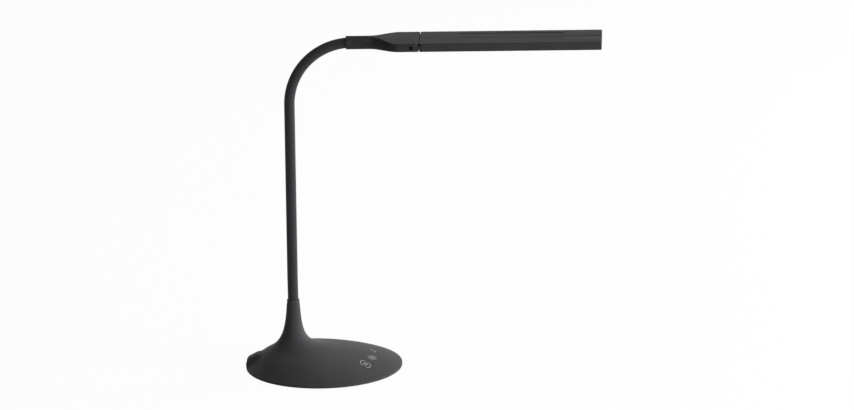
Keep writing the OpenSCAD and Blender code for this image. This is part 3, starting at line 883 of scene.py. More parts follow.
@dataclass
class Base:
    """Round base: a skin that sweeps up into the trumpet flare, with a hood at the rear."""

    radius: float = 85 * MM
    foot: float = 1.5 * MM
    rim: float = 2.5 * MM
    rim_round: float = 0.7 * MM
    stem: float = -31.8 * MM
    flare_top: float = 77 * MM
    collar_radius: float = 6.8 * MM
    collar_height: float = 4.4 * MM
    neck_radius: float = 5.7 * MM
    plate_radius: float = 81 * MM
    plate_top: float = 3.3 * MM
    hood_half_width: float = 4.5 * MM
    hood_flank: float = 11 * MM
    hood_rear: float = -84 * MM
    hood_length: float = 12 * MM
    hood_low: float = 10.4 * MM
    hood_high: float = 17 * MM
    hood_nose: float = 1.8 * MM
    hood_soft: float = 1.6 * MM
    sides: int = 288
    rise: tuple[float, ...] = (0, 0.16, 0.32, 0.16, 0.515, 1)
    front: tuple[float, ...] = (1, 0.75, 0.18, 0.02, 0.02, 0)
    rear: tuple[float, ...] = (1, 0.54, 0.68, 0.09, 0.06, 0)

    @staticmethod
    def curve(shares: Sequence[float], t: float) -> float:
        """Value of a curve with given control shares.

        Args:
            shares: The control shares.
            t: Place on the curve, 0 to 1.

        Returns:
            The value there.
        """
        n = len(shares) - 1
        return sum(math.comb(n, i) * (1 - t) ** (n - i) * t**i * s for i, s in enumerate(shares))

    def ring(self, t: float) -> tuple[float, float, float]:
        """Centre, radius and height of the skin's ring at a place on the sweep.

        Args:
            t: Place on the sweep, from the rim at 0 to the collar at 1.

        Returns:
            The ring's centre along X, its radius and its height.
        """
        rim_top = self.foot + self.rim
        front = self.collar_radius + self.stem
        front += (self.radius - self.stem - self.collar_radius) * self.curve(self.front, t)
        rear = self.stem - self.collar_radius
        rear -= (self.radius + self.stem - self.collar_radius) * self.curve(self.rear, t)
        height = rim_top + (self.flare_top - rim_top) * self.curve(self.rise, t)
        return (front + rear) / 2, (front - rear) / 2, height

    def crown(self, x: float) -> float:
        """Height of the hood's middle line.

        Args:
            x: Place along X.

        Returns:
            The height.
        """
        run = min(max((x - self.hood_rear) / self.hood_length, 0.0), 1.0)
        nose = min(max((x - self.hood_rear) / self.hood_nose, 0.0), 1.0)
        height = self.hood_low + (self.hood_high - self.hood_low) * run**0.8
        return height - self.hood_nose * (1 - math.sqrt(1 - (1 - nose) ** 2))

    def lifted(self, point: Vector) -> Vector:
        """Lifts a point of the skin to the hood over the socket, with soft flanks.

        Args:
            point: A point on the skin.

        Returns:
            The point on skin and hood together.
        """
        run = (point.x - self.hood_rear) / self.hood_length
        off = (abs(point.y) - self.hood_half_width) / self.hood_flank
        lift = self.crown(point.x) - point.z
        outside = off >= 1.0 or run > 2.0 or lift < -self.hood_soft
        if outside or point.z < self.foot + 0.9 * self.rim:
            return point
        share = min(max(0.5 + 0.5 * lift / self.hood_soft, 0.0), 1.0)
        over = lift * share + self.hood_soft * share * (1 - share)
        side = 1.0 if off <= 0 else (1 - off * off) ** 2
        return point + Vector((0, 0, over * side))

    def skin(self) -> Mesh:
        """Lofts the skin, from the seat of the plate to the groove under the collar.

        Returns:
            The closed solid.
        """
        rounding, top = self.rim_round, self.foot + self.rim
        low = [
            (0.0, self.plate_radius, self.plate_top + 0.1 * MM),
            (0.0, self.plate_radius, self.foot),
            (0.0, self.radius - rounding, self.foot),
            (0.0, self.radius - 0.62 * rounding, self.foot + 0.08 * rounding),
            (0.0, self.radius - 0.3 * rounding, self.foot + 0.29 * rounding),
            (0.0, self.radius - 0.08 * rounding, self.foot + 0.62 * rounding),
            (0.0, self.radius, self.foot + rounding),
            (0.0, self.radius, self.foot + 1.2 * rounding),
            (0.0, self.radius, top - 0.3 * MM),
            (0.0, self.radius, top - 0.15 * MM),
            (0.0, self.radius - 0.1 * MM, top - 0.02 * MM),
        ]
        places = [0.006 + 0.008 * i for i in range(15)]
        places += [places[-1] + (0.972 - places[-1]) * i / 44 for i in range(1, 45)]
        rings = low + [self.ring(t) for t in places]
        groove = self.flare_top - self.collar_height
        rings += [
            (self.stem, self.collar_radius, groove - 0.12 * MM),
            (self.stem, self.collar_radius - 0.05 * MM, groove - 0.06 * MM),
            (self.stem, self.collar_radius - 0.55 * MM, groove - 0.05 * MM),
        ]

        def section(ring: tuple[float, float, float]) -> Section:
            """A ring as a function of the turn round it."""
            centre, radius, height = ring
            return lambda turn: self.lifted(
                Vector((centre + radius * math.cos(turn), radius * math.sin(turn), height))
            )

        bm = bmesh.new()
        loft(bm, [section(r) for r in rings], self.sides)
        return bm

    def build(self, finishes: Finishes) -> bpy.types.Object:
        """Builds the shell and the collar.

        Args:
            finishes: The lamp's finishes.

        Returns:
            The shell, for the key marks that lie on it.
        """
        shell = to_piece(self.skin(), "base_skin")
        low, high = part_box("socket_bezel")
        rear = Vector((-self.radius - 2 * MM, low.y, low.z))
        carve(shell, lone_block(rear, high), Joining.CUT)
        low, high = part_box("power_socket")
        carve(shell, lone_block(low - Vector((0.5 * MM, 0, 0)), high), Joining.CUT)
        smooth(shell, 40.0)
        place_piece(shell, finishes.shell, "base", ["base_shell"])

        edge = 0.35 * MM
        outer, inner, top = self.collar_radius, self.neck_radius, self.collar_height
        step, shelf = 0.12 * MM, self.collar_height - 1.5 * MM
        bm = bmesh.new()
        turned(
            bm,
            [
                (inner, 0),
                (outer - 0.05 * MM, 0),
                (outer, 0.05 * MM),
                (outer, shelf - step),
                (outer - step, shelf),
                (outer, shelf + step),
                (outer, top - edge),
                (outer - 0.1 * MM, top - 0.1 * MM),
                (outer - edge, top),
                (inner + 0.1 * MM, top),
                (inner, top - 0.1 * MM),
            ],
            Vector((self.stem, 0, self.flare_top - self.collar_height)),
            96,
        )
        collar = to_piece(bm, "collar_ring")
        smooth(collar, 50.0)
        place_piece(collar, finishes.shell, "base", ["neck_collar"])
        return shell


@dataclass
class TouchKeys:
    """Marks printed on the base over its three touch keys."""

    centres: tuple[tuple[float, float], ...] = (
        (46.8 * MM, -32.5 * MM),
        (53.2 * MM, -10.8 * MM),
        (52.6 * MM, 15.0 * MM),
    )
    size: float = 6 * MM
    line: float = 0.55 * MM
    stretch: float = 2.1
    lift: float = 0.05 * MM
    sink: float = 0.2 * MM

    def _hoop(
        self, bm: Mesh, radius: float, flat: float = 1.0, turn: float = 0.0, gap: float = 0.0
    ) -> None:
        """Adds a flat hoop of one line's width, which may be oval and open on two sides.

        Args:
            bm: The mesh to add to.
            radius: Outer radius.
            flat: Share of the radius that the narrow axis has.
            turn: Direction of the long axis.
            gap: Half the angle of each opening, in the middle of the long sides.
        """
        sides = 72
        rim = bmesh.ops.create_circle(bm, cap_ends=True, segments=sides, radius=radius)["verts"]
        face = next(f for v in rim for f in v.link_faces if len(f.verts) == sides)
        band = bmesh.ops.inset_region(
            bm, faces=[face], thickness=self.line, use_boundary=True, use_even_offset=True
        )["faces"]
        spare = [f for f in band if abs(f.calc_center_median().x) < radius * math.sin(gap)]
        bmesh.ops.delete(bm, geom=[face] + spare, context="FACES")
        verts = list({v for f in band if f.is_valid for v in f.verts})
        shape = Matrix.Rotation(turn, 4, "Z") @ Matrix.Diagonal((1, flat, 1, 1))
        bmesh.ops.transform(bm, matrix=shape, verts=verts)

    def _dash(self, bm: Mesh, centre: Vector, length: float, turn: float) -> None:
        """Adds a short flat line.

        Args:
            bm: The mesh to add to.
            centre: Middle of the line.
            length: Its length.
            turn: Its direction.
        """
        place = (
            Matrix.Translation(centre)
            @ Matrix.Rotation(turn, 4, "Z")
            @ Matrix.Diagonal((length / 2, self.line / 2, 1, 1))
        )
        bmesh.ops.create_grid(bm, x_segments=6, y_segments=1, size=1.0, matrix=place)

    def _mark(self, kind: KeyMark) -> Mesh:
        """Draws a mark, flat and centred on the origin, as the user sees it.

        Args:
            kind: The mark.

        Returns:
            Its faces.
        """
        bm = bmesh.new()
        size = self.size
        if kind is KeyMark.TUBES:
            self._hoop(bm, size, 0.58, math.radians(-20), math.radians(20))
            for side in (-1, 1):
                centre = Vector((0.15 * side * size, -0.12 * side * size, 0))
                self._dash(bm, centre, 0.75 * size, math.radians(44))
        elif kind is KeyMark.SUN:
            self._hoop(bm, 0.4 * size, 0.62)
            for i in range(8):
                turn = math.tau * i / 8
                out = Vector((0.72 * size * math.cos(turn), 0.45 * size * math.sin(turn), 0))
                self._dash(bm, out, 0.2 * size, turn)
        else:
            self._hoop(bm, 0.55 * size, 0.6, math.radians(-30), math.radians(50))
            self._dash(bm, Vector((0.1 * size, 0.05 * size, 0)), 0.4 * size, math.radians(-30))
        bmesh.ops.scale(bm, verts=bm.verts, vec=(1, self.stretch, 1))
        return bm

    def build(self, shell: bpy.types.Object, finishes: Finishes) -> None:
        """Lays the marks on the shell, each a thin closed film.

        Args:
            shell: The base's skin.
            finishes: The lamp's finishes.
        """
        mesh = shell.data
        surface = BVHTree.FromPolygons(
            [v.co for v in mesh.vertices], [tuple(p.vertices) for p in mesh.polygons]
        )
        for kind, (x, y) in zip(KeyMark, self.centres):
            bm = self._mark(kind)
            bmesh.ops.translate(bm, verts=bm.verts, vec=(x, y, 0))
            for v in bm.verts:
                hit = surface.ray_cast(Vector((v.co.x, v.co.y, 0.2)), Vector((0, 0, -1)))[0]
                v.co.z = hit.z + self.lift
            film = bmesh.ops.extrude_face_region(bm, geom=list(bm.faces))["geom"]
            lower = [g for g in film if isinstance(g, bmesh.types.BMVert)]
            bmesh.ops.translate(bm, verts=lower, vec=(0, 0, -self.sink))
            bmesh.ops.recalc_face_normals(bm, faces=bm.faces)
            mark = to_piece(bm, f"key_mark_{kind.value}")
            place_piece(mark, finishes.ink, "base")


@dataclass
class Neck:
    """Bendable neck: one continuous sleeve, parted in the middle of each link."""

    radius: float = 5.7 * MM
    stem: float = -31.8 * MM
    flare_top: float = 77 * MM
    first_bend: float = 24 * MM
    straight: float = 218 * MM
    bend_radius: float = 68.5 * MM
    lean: float = math.radians(0.6)
    last_turn: float = math.radians(58)
    reach: float = 17 * MM
    sides: int = 48

    @property
    def leaning(self) -> float:
        """Length of the straight part above the lowest joint."""
        return self.straight - self.first_bend

    def at(self, s: float) -> Matrix:
        """Place and direction on the neck's centre line.

        Args:
            s: Distance from the lowest joint, negative below it.

        Returns:
            A frame whose Z runs along the neck.
        """
        foot = Matrix.Translation((self.stem, 0, self.flare_top + self.first_bend))
        if s <= 0:
            return foot @ Matrix.Translation((0, 0, s))
        leaning = foot @ Matrix.Rotation(self.lean, 4, "Y")
        if s <= self.leaning:
            return leaning @ Matrix.Translation((0, 0, s))
        turn = (s - self.leaning) / self.bend_radius
        about = Matrix.Translation((self.bend_radius, 0, 0))
        whole = math.pi / 2 - self.lean
        beyond = max(0.0, turn - whole) * self.bend_radius
        bent = about @ Matrix.Rotation(min(turn, whole), 4, "Y") @ about.inverted()
        top, rest = (Matrix.Translation((0, 0, run)) for run in (self.leaning, beyond))
        return leaning @ top @ bent @ rest

    def joints(self) -> list[float]:
        """Distances of the six joints along the neck."""
        link = self.leaning / 4
        return [i * link for i in range(5)] + [self.leaning + self.last_turn * self.bend_radius]

    def build(self, finishes: Finishes) -> None:
        """Builds the sleeve, one length for each joint.

        Args:
            finishes: The lamp's finishes.
        """
        joints = self.joints()
        end = self.leaning + (math.pi / 2 - self.lean) * self.bend_radius + 6 * MM
        cuts = [-31 * MM]
        cuts += [(a + b) / 2 for a, b in zip(joints, joints[1:])]
        cuts.append(end)
        bodies = ["base"] + [f"neck_{i}" for i in range(1, 6)] + ["head"]
        for i, joint in enumerate(joints):
            low, high = cuts[i], cuts[i + 1]
            steps = max(12, round((high - low) / (1.5 * MM)))

            def section(s: float) -> Section:
                """The sleeve's round section at a distance along the neck."""
                place = self.at(s)
                return lambda turn: place @ Vector(
                    (self.radius * math.cos(turn), self.radius * math.sin(turn), 0)
                )

            places = [low + (high - low) * k / steps for k in range(steps + 1)]
            bm = bmesh.new()
            loft(bm, [section(s) for s in places], self.sides)
            piece = to_piece(bm, f"neck_skin_{i + 1}")
            smooth(piece, 60.0)
            start, finish = (self.at(joint + d).translation for d in (-self.reach, self.reach))
            nodes = [f"neck_core_{i}", f"neck_sleeve_{i}"]
            if i == len(joints) - 1:
                nodes += [f"neck_core_{i + 1}", f"neck_sleeve_{i + 1}"]
            place_piece(
                piece, finishes.sleeve, (bodies[i + 1], bodies[i], finish, start), nodes
            )


@dataclass
class Coupling:
    """Coupling that widens from the round neck to the flat head, with a hinge at each corner."""

    mouth: float = 32.7278 * MM
    height: float = 362.7720 * MM
    length: float = 79 * MM
    diameter: float = 14.4 * MM
    width: float = 57.5 * MM
    thickness: float = 8.9 * MM
    flare_start: float = 25 * MM
    flare_end: float = 57 * MM
    edge_radius: float = 1.5 * MM
    pin_edge: float = 4.8 * MM
    tongue: float = 3.8 * MM
    tongue_gap: float = 0.1 * MM
    slot_radius: float = 5.3 * MM
    bore_radius: float = 6.05 * MM
    bore_depth: float = 20 * MM
    groove_depth: float = 0.5 * MM
    screw_past: float = 5 * MM
    screw_y: float = 14 * MM
    ring_x: float = 1.6 * MM
    ring_width: float = 1.8 * MM
    sides: int = 96

    @property
    def pin_x(self) -> float:
        """Place of the hinge pins along X."""
        return self.mouth + self.length - self.pin_edge

    @property
    def pin_y(self) -> float:
        """Distance of the hinge pins from the middle plane."""
        return self.width / 2 - self.pin_edge

    def section(self, x: float) -> Section:
        """Outline of the coupling at a distance from its mouth.

        Args:
            x: Distance from the mouth.

        Returns:
            The outline as a function of the turn.
        """
        u = min(max((x - self.flare_start) / (self.flare_end - self.flare_start), 0.0), 1.0)
        share = u * u * (3 - 2 * u)
        half_w = (self.diameter + (self.width - self.diameter) * share) / 2
        half_h = (self.diameter + (self.thickness - self.diameter) * share) / 2
        r = self.diameter / 2 + (self.edge_radius - self.diameter / 2) * share

        def point(turn: float) -> Vector:
            """A point of the outline: quarter circles moved out to the corners."""
            c, s = math.cos(turn), math.sin(turn)
            y = math.copysign(half_w - r, c) if abs(c) > 1e-6 else 0.0
            z = math.copysign(half_h - r, s) if abs(s) > 1e-6 else 0.0
            return Vector((self.mouth + x, y + r * c, self.height + z + r * s))

        return point

    def _round(self, x: float, radius: float) -> Section:
        """A circle round the coupling's axis at a distance from its mouth.

        Args:
            x: Distance from the mouth.
            radius: Radius of the circle.

        Returns:
            The circle as a function of the turn.
        """
        centre = Vector((self.mouth + x, 0, self.height))
        return lambda turn: centre + Vector((0, radius * math.cos(turn), radius * math.sin(turn)))

    def skin(self) -> Mesh:
        """Lofts the whole coupling as one closed solid, from the bottom of its bore.

        Returns:
            The solid.
        """
        outer, edge = self.diameter / 2, 0.25 * MM
        band_end = self.ring_x + self.ring_width
        rounds = [
            (self.bore_depth, self.bore_radius),
            (0.0, self.bore_radius),
            (0.0, outer - edge),
            (edge, outer),
            (self.ring_x, outer),
            (self.ring_x, outer - self.groove_depth),
            (band_end, outer - self.groove_depth),
            (band_end, outer),
            (8 * MM, outer),
            (16 * MM, outer),
        ]
        flare = self.flare_end - self.flare_start
        places = [self.flare_start + flare * i / 40 for i in range(41)]
        places += [self.flare_end + 7 * MM, self.length - 6 * MM, self.length]
        sections = [self._round(x, r) for x, r in rounds] + [self.section(x) for x in places]
        bm = bmesh.new()
        loft(bm, sections, self.sides)
        return bm

    def hinge_cutters(self, side: Side) -> list[Mesh]:
        """Solids that cut one hinge's slot, round corner and pin holes.

        Args:
            side: Side of the hinge.

        Returns:
            The cutters.
        """
        pin = Vector((self.pin_x, side.value * self.pin_y, self.height))
        slot = self.tongue + 2 * self.tongue_gap
        edge, r, past = self.pin_edge, self.slot_radius, 2 * MM

        def span(x0: float, x1: float, y0: float, y1: float, half: float) -> tuple[Vector, Vector]:
            """Corners of a block about the pin, on this side of the lamp."""
            ys = sorted((side.value * y0, side.value * y1))
            return pin + Vector((x0, ys[0], -half)), pin + Vector((x1, ys[1], half))

        pocket = lone_block(*span(-r, edge + past, -r, edge + past, slot / 2))
        inner = pin + Vector((-r, -side.value * r, 0))
        round_edges(
            pocket,
            lambda e: all((v.co.xy - inner.xy).length < 1e-6 for v in e.verts),
            r,
            24,
        )
        cutters = [pocket]
        square = lone_block(*span(0, edge + past, 0, edge + past, self.thickness))
        corner = to_piece(square, "corner")
        carve(corner, lone_drum(pin, edge, 3 * self.thickness), Joining.CUT)
        cutters.append(back_to_mesh(corner))
        for radius, low_z, high_z in (
            (1.5 * MM, -self.thickness, self.thickness / 2 - 0.8 * MM),
            (2.4 * MM, -self.thickness, -self.thickness / 2 + 1.0 * MM),
        ):
            middle = pin + Vector((0, 0, (low_z + high_z) / 2))
            cutters.append(lone_drum(middle, radius, high_z - low_z))
        return cutters

    def _cut_hinges(self, whole: bpy.types.Object) -> None:
        """Cuts the hinges' slots and pin holes and the screw holes.

        Args:
            whole: The coupling as one piece.
        """
        for side in Side:
            for cutter in self.hinge_cutters(side):
                carve(whole, cutter, Joining.CUT)
        for side in Side:
            screw_x = self.mouth + self.flare_end + self.screw_past
            underside = self.height - self.thickness / 2
            low = Vector((screw_x, side.value * self.screw_y, underside))
            for radius, deep in ((2.1 * MM, 0.8 * MM), (1.1 * MM, 5.8 * MM)):
                middle = low + Vector((0, 0, deep / 2 - 1 * MM))
                carve(whole, lone_drum(middle, radius, deep + 2 * MM), Joining.CUT)

    def build(self, finishes: Finishes) -> None:
        """Builds the two shells and the ring round the mouth.

        Args:
            finishes: The lamp's finishes.
        """
        split = self.height - self.tongue / 2 - self.tongue_gap
        for name, low_z, high_z in (
            ("coupling_top", split + 0.04 * MM, split + 0.1),
            ("coupling_bottom", split - 0.1, split - 0.04 * MM),
        ):
            half = to_piece(self.skin(), f"{name}_shell")
            self._cut_hinges(half)
            keep = bmesh.new()
            block(keep, Vector((0, -0.1, low_z)), Vector((0.2, 0.1, high_z)))
            carve(half, keep, Joining.KEEP)
            smooth(half, 30.0)
            place_piece(half, finishes.head, "head", [name])
        bm = bmesh.new()
        half, soft = self.ring_width / 2, 0.25 * MM
        outer, inner = (self.diameter / 2 + d for d in (0.1 * MM, -self.groove_depth))
        turned(
            bm,
            [
                (inner, -half),
                (outer - soft, -half),
                (outer, soft - half),
                (outer, half - soft),
                (outer - soft, half),
                (inner, half),
            ],
            Vector((0, 0, 0)),
            96,
        )
        lying = Matrix.Rotation(math.pi / 2, 4, "Y")
        place = Matrix.Translation((self.mouth + self.ring_x + half, 0, self.height)) @ lying
        bmesh.ops.transform(bm, matrix=place, verts=bm.verts)
        ring = to_piece(bm, "coupling_band")
        smooth(ring, 50.0)
        place_piece(ring, finishes.head, "head", ["coupling_ring"])


@dataclass
class LightBar:
    """One of the two flat light bars: housing with tongue, diffuser and end cap."""

    side: Side
    start: float = 112.3278 * MM
    height: float = 362.7720 * MM
    length: float = 194.5 * MM
    width: float = 28.3 * MM
    thickness: float = 8.9 * MM
    gap: float = 0.9 * MM
    cap: float = 1.6 * MM
    edge_radius: float = 1.3 * MM
    corner_radius: float = 3 * MM
    border: float = 2.2 * MM
    opening: float = 12 * MM
    diffuser: float = 2 * MM
    recess_start: float = 39 * MM
    recess_length: float = 114 * MM
    recess_depth: float = 0.4 * MM
    tongue: float = 3.8 * MM
    tongue_radius: float = 4.3 * MM
    pin_edge: float = 4.8 * MM
    pin_hole: float = 1.54 * MM
    bar_gap: float = 0.6 * MM
    seam_lip: float = 0.3 * MM
    cavity: float = 20 * MM
    cavity_top: float = 2.25 * MM
    chips: int = 24

    @property
    def first_chip_x(self) -> float:
        """Place of the first chip along X."""
        return self.start + 18 * MM

    @property
    def chip_pitch(self) -> float:
        """Spacing of the chips."""
        return (self.length - self.cap - 36 * MM) / (self.chips - 1)

    @property
    def row_y(self) -> float:
        """Distance of the row of chips from the middle plane."""
        return self.gap / 2 + self.width / 2

    @property
    def body(self) -> str:
        """Body that the bar rides on."""
        return f"bar_{self.side.word}"

    def _local(self, x: float, y: float, z: float) -> Vector:
        """A point from the bar's inner rear corner, at the middle of its height.

        Args:
            x: Distance along the bar.
            y: Distance outward.
            z: Height over the middle.

        Returns:
            The point in the lamp's frame, before the side is mirrored.
        """
        return Vector((self.start + x, self.gap / 2 + y, self.height + z))

    def _settle(self, bm: Mesh) -> Mesh:
        """Mirrors a mesh to the bar's own side.

        Args:
            bm: A mesh made on the left side.

        Returns:
            The same mesh on the bar's side, with its faces outward.
        """
        if self.side is Side.RIGHT:
            bmesh.ops.scale(bm, verts=bm.verts, vec=(1, -1, 1))
            bmesh.ops.reverse_faces(bm, faces=bm.faces)
        return bm

    def _profile(self, x0: float, x1: float, inner: float, rounded: bool) -> Mesh:
        """The bar's section between two distances, with its long edges rounded.

        Args:
            x0: Start.
            x1: End.
            inner: Distance of the inner face from the middle seam's own edge.
            rounded: Whether the inner edges are rounded too.

        Returns:
            The solid on the left side.
        """
        t = self.thickness / 2
        outer = self._local(0, self.width, 0).y
        bm = lone_block(self._local(x0, inner, -t), self._local(x1, self.width, t))
        round_edges(
            bm,
            lambda e: abs(e.verts[0].co.x - e.verts[1].co.x) > 1e-6
            and (rounded or abs(e.verts[0].co.y - outer) < 1e-6),
            self.edge_radius,
            6,
        )
        return bm

    def _rear_corner(self) -> Mesh:
        """Cutter that rounds the outer rear corner in plan."""
        far = self._local(0, self.width, 0)
        r, tall = self.corner_radius, 2 * self.thickness
        notch = to_piece(
            lone_block(far + Vector((-1 * MM, -r, -tall)), far + Vector((r, 1 * MM, tall))), "notch"
        )
        carve(notch, lone_drum(far + Vector((r, -r, 0)), r, 3 * tall), Joining.CUT)
        return back_to_mesh(notch)

    def _recess(self) -> Mesh:
        """Cutter for the shallow recess on top, open to the seam."""
        t = self.thickness / 2
        bm = lone_block(
            self._local(self.recess_start, -2 * MM, t - self.recess_depth),
            self._local(self.recess_start + self.recess_length, 0.65 * self.width, t + 2 * MM),
        )
        round_edges(
            bm,
            lambda e: abs(e.verts[0].co.z - e.verts[1].co.z) > 1e-6 and e.verts[0].co.y > self.gap,
            6 * MM,
            8,
        )
        return bm

    def _tongue(self) -> Mesh:
        """The hinge tongue, with its round end about the pin."""
        pin = self._pin()
        t, r = self.tongue / 2, self.tongue_radius
        reach = self.pin_edge + self.bar_gap + 3 * MM
        bar = lone_block(pin + Vector((0, -r, -t)), pin + Vector((reach, r, t)))
        piece = to_piece(bar, "tongue")
        carve(piece, lone_drum(pin, r, self.tongue), Joining.ADD)
        return back_to_mesh(piece)

    def _pin(self) -> Vector:
        """Middle of the hinge pin."""
        return self._local(-self.bar_gap - self.pin_edge, self.width - self.pin_edge, 0)

    def build_housing(self, finishes: Finishes) -> None:
        """Builds the housing: section, recess, opening underneath and tongue.

        Args:
            finishes: The lamp's finishes.
        """
        t, run = self.thickness / 2, self.length - self.cap
        end = run - 0.06 * MM
        piece = to_piece(self._profile(0, end, 0, True), f"bar_shell_{self.side.word}")
        lip = self._profile(0, self.recess_start, -self.seam_lip, False)
        carve(piece, lip, Joining.ADD)
        carve(piece, self._rear_corner(), Joining.CUT)
        carve(piece, self._recess(), Joining.CUT)
        opening = lone_block(
            self._local(self.opening, self.border, -t - 2 * MM),
            self._local(run + 2 * MM, self.width - self.border, -t + self.diffuser),
        )
        carve(piece, opening, Joining.CUT)
        room = (self.width - self.cavity) / 2
        cavity = lone_block(
            self._local(self.opening, room, -t + self.diffuser - 0.5 * MM),
            self._local(run + 2 * MM, self.width - room, self.cavity_top),
        )
        carve(piece, cavity, Joining.CUT)
        carve(piece, self._tongue(), Joining.ADD)
        carve(piece, lone_drum(self._pin(), self.pin_hole, 4 * t), Joining.CUT)
        piece = to_piece(self._settle(back_to_mesh(piece)), f"bar_shell_{self.side.word}")
        smooth(piece, 30.0)
        node = f"bar_housing_{self.side.word}"
        place_piece(piece, finishes.head, self.body, [node])

    def build_diffuser(self, frost: bpy.types.Material) -> None:
        """Builds the diffuser, its edges slightly broken.

        Args:
            frost: The milky finish.
        """
        t, run = self.thickness / 2, self.length - self.cap
        play = 0.12 * MM
        bm = lone_block(
            self._local(self.opening + play, self.border + play, -t),
            self._local(run - play, self.width - self.border - play, -t + self.diffuser),
        )
        round_edges(bm, lambda e: True, 0.3 * MM, 2)
        piece = to_piece(self._settle(bm), f"diffuser_lens_{self.side.word}")
        smooth(piece, 40.0)
        place_piece(piece, frost, self.body, [f"diffuser_{self.side.word}"])

    def build_cap(self, finishes: Finishes) -> None:
        """Builds the end cap, its upright corners rounded.

        Args:
            finishes: The lamp's finishes.
        """
        t, run = self.thickness / 2, self.length - self.cap
        bm = lone_block(self._local(run, 0, -t), self._local(self.length, self.width, t))
        round_edges(
            bm,
            lambda e: e.calc_face_angle() > 1.0 and abs(e.verts[0].co.x - e.verts[1].co.x) > 1e-6,
            self.edge_radius,
            6,
        )
        end = self._local(self.length, 0, 0).x
        round_edges(
            bm,
            lambda e: e.calc_face_angle() > 1.0 and all(abs(v.co.x - end) < 1e-6 for v in e.verts),
            0.8 * MM,
            4,
        )
        piece = to_piece(self._settle(bm), f"bar_cap_{self.side.word}")
        smooth(piece, 35.0)
        place_piece(piece, finishes.head, self.body, [f"end_cap_{self.side.word}"])

    def build(self, finishes: Finishes, frost: bpy.types.Material) -> None:
        """Builds the whole bar.

        Args:
            finishes: The lamp's finishes.
            frost: The diffuser's milky finish.
        """
        self.build_housing(finishes)
        self.build_diffuser(frost)
        self.build_cap(finishes)


class CarriedParts:
    """The frame's own nodes that stay in view or inside, each with its finish."""

    def dress(self, finishes: Finishes) -> None:
        """Gives each node that no piece stands for its material.

        Args:
            finishes: The lamp's finishes.
        """
        by_node = {
            "base_plate": finishes.plate,
            "rubber_feet": finishes.feet,
            "ballast_disc": finishes.steel,
            "control_board": finishes.board,
            "touch_pads": finishes.foam,
            "socket_bezel": finishes.socket,
            "power_socket": finishes.socket,
            "socket_pin": finishes.brass,
            "neck_nut": finishes.brass,
            "neck_ferrule": finishes.brass,
            "led_strip": finishes.strip,
            "led_chips": finishes.phosphor,
        }
        for name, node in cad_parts.items():
            found = [m for key, m in by_node.items() if name.startswith(key)]
            finish = found[0] if found else finishes.steel
            node.data.materials.clear()
            node.data.materials.append(finish)
            LOG.info("%s dressed with %s", name, finish.name)


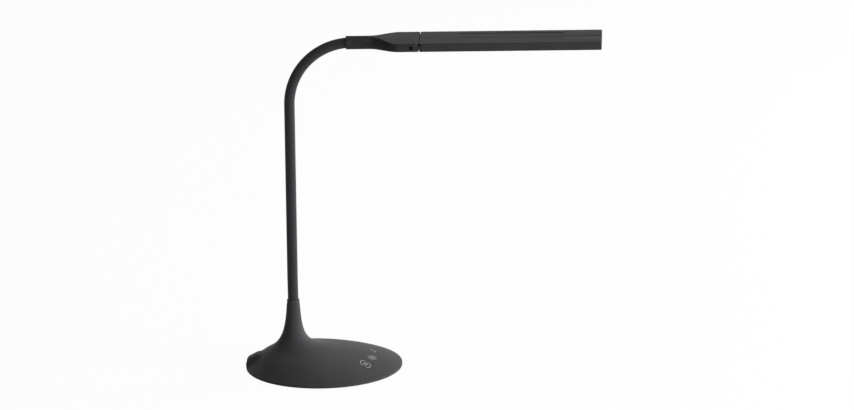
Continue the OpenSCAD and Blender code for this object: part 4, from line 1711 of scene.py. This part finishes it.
@dataclass
class Studio:
    """Pale floor, soft lamps and the camera at the photograph's angle."""

    azimuth: float = math.radians(2.61)
    pitch: float = math.radians(15.43)
    roll: float = math.radians(1.29)
    distance: float = 6.0
    focal_px: float = 5562.0
    frame_px: float = 854.0
    target: Vector = field(default_factory=lambda: Vector((0.1158, 0.0, 0.1815)))
    lamp_aim: Vector = field(default_factory=lambda: Vector((0.11, 0.0, 0.2)))
    lamp_size: float = 1.2
    floor_size: float = 6.0
    white_share: float = 0.96
    room_light: float = 0.08

    def camera(self) -> None:
        """Sets the camera where the photographer stood."""
        data = bpy.data.cameras.new("photograph")
        data.sensor_fit = "HORIZONTAL"
        data.sensor_width = 36.0
        data.lens = self.focal_px * data.sensor_width / self.frame_px
        data.clip_start, data.clip_end = 0.05, 50.0
        camera = bpy.data.objects.new("photograph", data)
        look = Vector(
            (
                -math.sin(self.azimuth) * math.cos(self.pitch),
                math.cos(self.azimuth) * math.cos(self.pitch),
                -math.sin(self.pitch),
            )
        )
        camera.location = self.target - self.distance * look
        camera.rotation_mode = "QUATERNION"
        level = look.to_track_quat("-Z", "Y")
        camera.rotation_quaternion = level @ Quaternion((0, 0, 1), -self.roll)
        bpy.context.scene.collection.objects.link(camera)
        bpy.context.scene.camera = camera

    def lamp(self, name: str, place: Vector, watts: float) -> None:
        """Adds a square soft lamp that points at the object.

        Args:
            name: Its name.
            place: Where it stands.
            watts: Its power.
        """
        data = bpy.data.lights.new(name, "AREA")
        data.shape = "SQUARE"
        data.size = self.lamp_size
        data.energy = watts
        lamp = bpy.data.objects.new(name, data)
        lamp.location = place
        lamp.rotation_mode = "QUATERNION"
        lamp.rotation_quaternion = (self.lamp_aim - place).to_track_quat("-Z", "Y")
        bpy.context.scene.collection.objects.link(lamp)

    def seen_directly(self, tree: Tree) -> Socket:
        """Mask of the rays that see the surroundings: camera, gloss and transmission.

        Args:
            tree: The shader.

        Returns:
            The mask's output, 1 on such rays.
        """
        rays = tree.nodes.new("ShaderNodeLightPath")
        seen = rays.outputs["Is Camera Ray"]
        for kind in ("Is Glossy Ray", "Is Transmission Ray"):
            seen = sum_step(tree, "ADD", seen, rays.outputs[kind], clamp=True)
        return seen

    def seen_white(self, name: str) -> bpy.types.Material:
        """A pale matt ground that the camera and reflections see as nearly white.

        Args:
            name: Name of the material.

        Returns:
            The material.
        """
        made, tree, surface = new_material(name)
        surface.inputs["Base Color"].default_value = (0.9, 0.9, 0.9, 1.0)
        surface.inputs["Roughness"].default_value = 0.9
        amount = sum_step(tree, "MULTIPLY", self.seen_directly(tree), self.white_share)
        white = shade_step(tree, "Emission", {"Color": (1, 1, 1, 1), "Strength": 1.0})
        mix = shade_step(tree, "MixShader", {0: amount})
        tree.links.new(surface.outputs[0], mix.inputs[1])
        tree.links.new(white.outputs[0], mix.inputs[2])
        tree.links.new(mix.outputs[0], tree.nodes["Material Output"].inputs["Surface"])
        return made

    def ground(self) -> None:
        """Lays the floor."""
        bm = bmesh.new()
        bmesh.ops.create_grid(bm, x_segments=1, y_segments=1, size=self.floor_size)
        floor = to_piece(bm, "floor")
        floor.data.materials.append(self.seen_white("pale_floor"))

    def world(self) -> None:
        """Sets the surroundings: white to look at, soft grey as light."""
        world = bpy.data.worlds.new("studio")
        bpy.context.scene.world = world
        world.use_nodes = True
        tree = world.node_tree
        tree.nodes.clear()
        white = (1, 1, 1, 1)
        room = shade_step(tree, "Background", {"Color": white, "Strength": self.room_light})
        seen = shade_step(tree, "Background", {"Color": white, "Strength": 1.0})
        mix = shade_step(tree, "MixShader", {0: self.seen_directly(tree)})
        tree.links.new(room.outputs[0], mix.inputs[1])
        tree.links.new(seen.outputs[0], mix.inputs[2])
        out = tree.nodes.new("ShaderNodeOutputWorld")
        tree.links.new(mix.outputs[0], out.inputs["Surface"])

    def build(self) -> None:
        """Sets floor, surroundings, lamps and camera."""
        scene = bpy.context.scene
        scene.view_settings.view_transform = "Standard"
        self.ground()
        self.world()
        for name, place, watts in (
            ("high_right", (1.6, -0.6, 1.6), 10.0),
            ("right", (2.2, -0.5, 0.6), 42.0),
            ("near_right", (1.5, -1.8, 0.9), 14.0),
            ("far_right", (1.8, 1.2, 0.6), 40.0),
            ("back", (0.0, 1.8, 1.8), 3.0),
        ):
            self.lamp(name, Vector(place), watts)
        self.camera()


def main() -> None:
    """Builds the lamp's looks over the frame, piece after piece."""
    logging.basicConfig(level=logging.INFO, format="%(name)s: %(message)s")
    effects = SharedEffects()
    finishes = Finishes(effects)
    CarriedParts().dress(finishes)
    shell = Base().build(finishes)
    TouchKeys().build(shell, finishes)
    Neck().build(finishes)
    Coupling().build(finishes)
    bars = [LightBar(side) for side in Side]
    frost = finishes.frost(effects, bars[0])
    for bar in bars:
        bar.build(finishes, frost)
    Studio().build()
    LOG.info("sizes written")


if __name__ == "__main__":
    main()
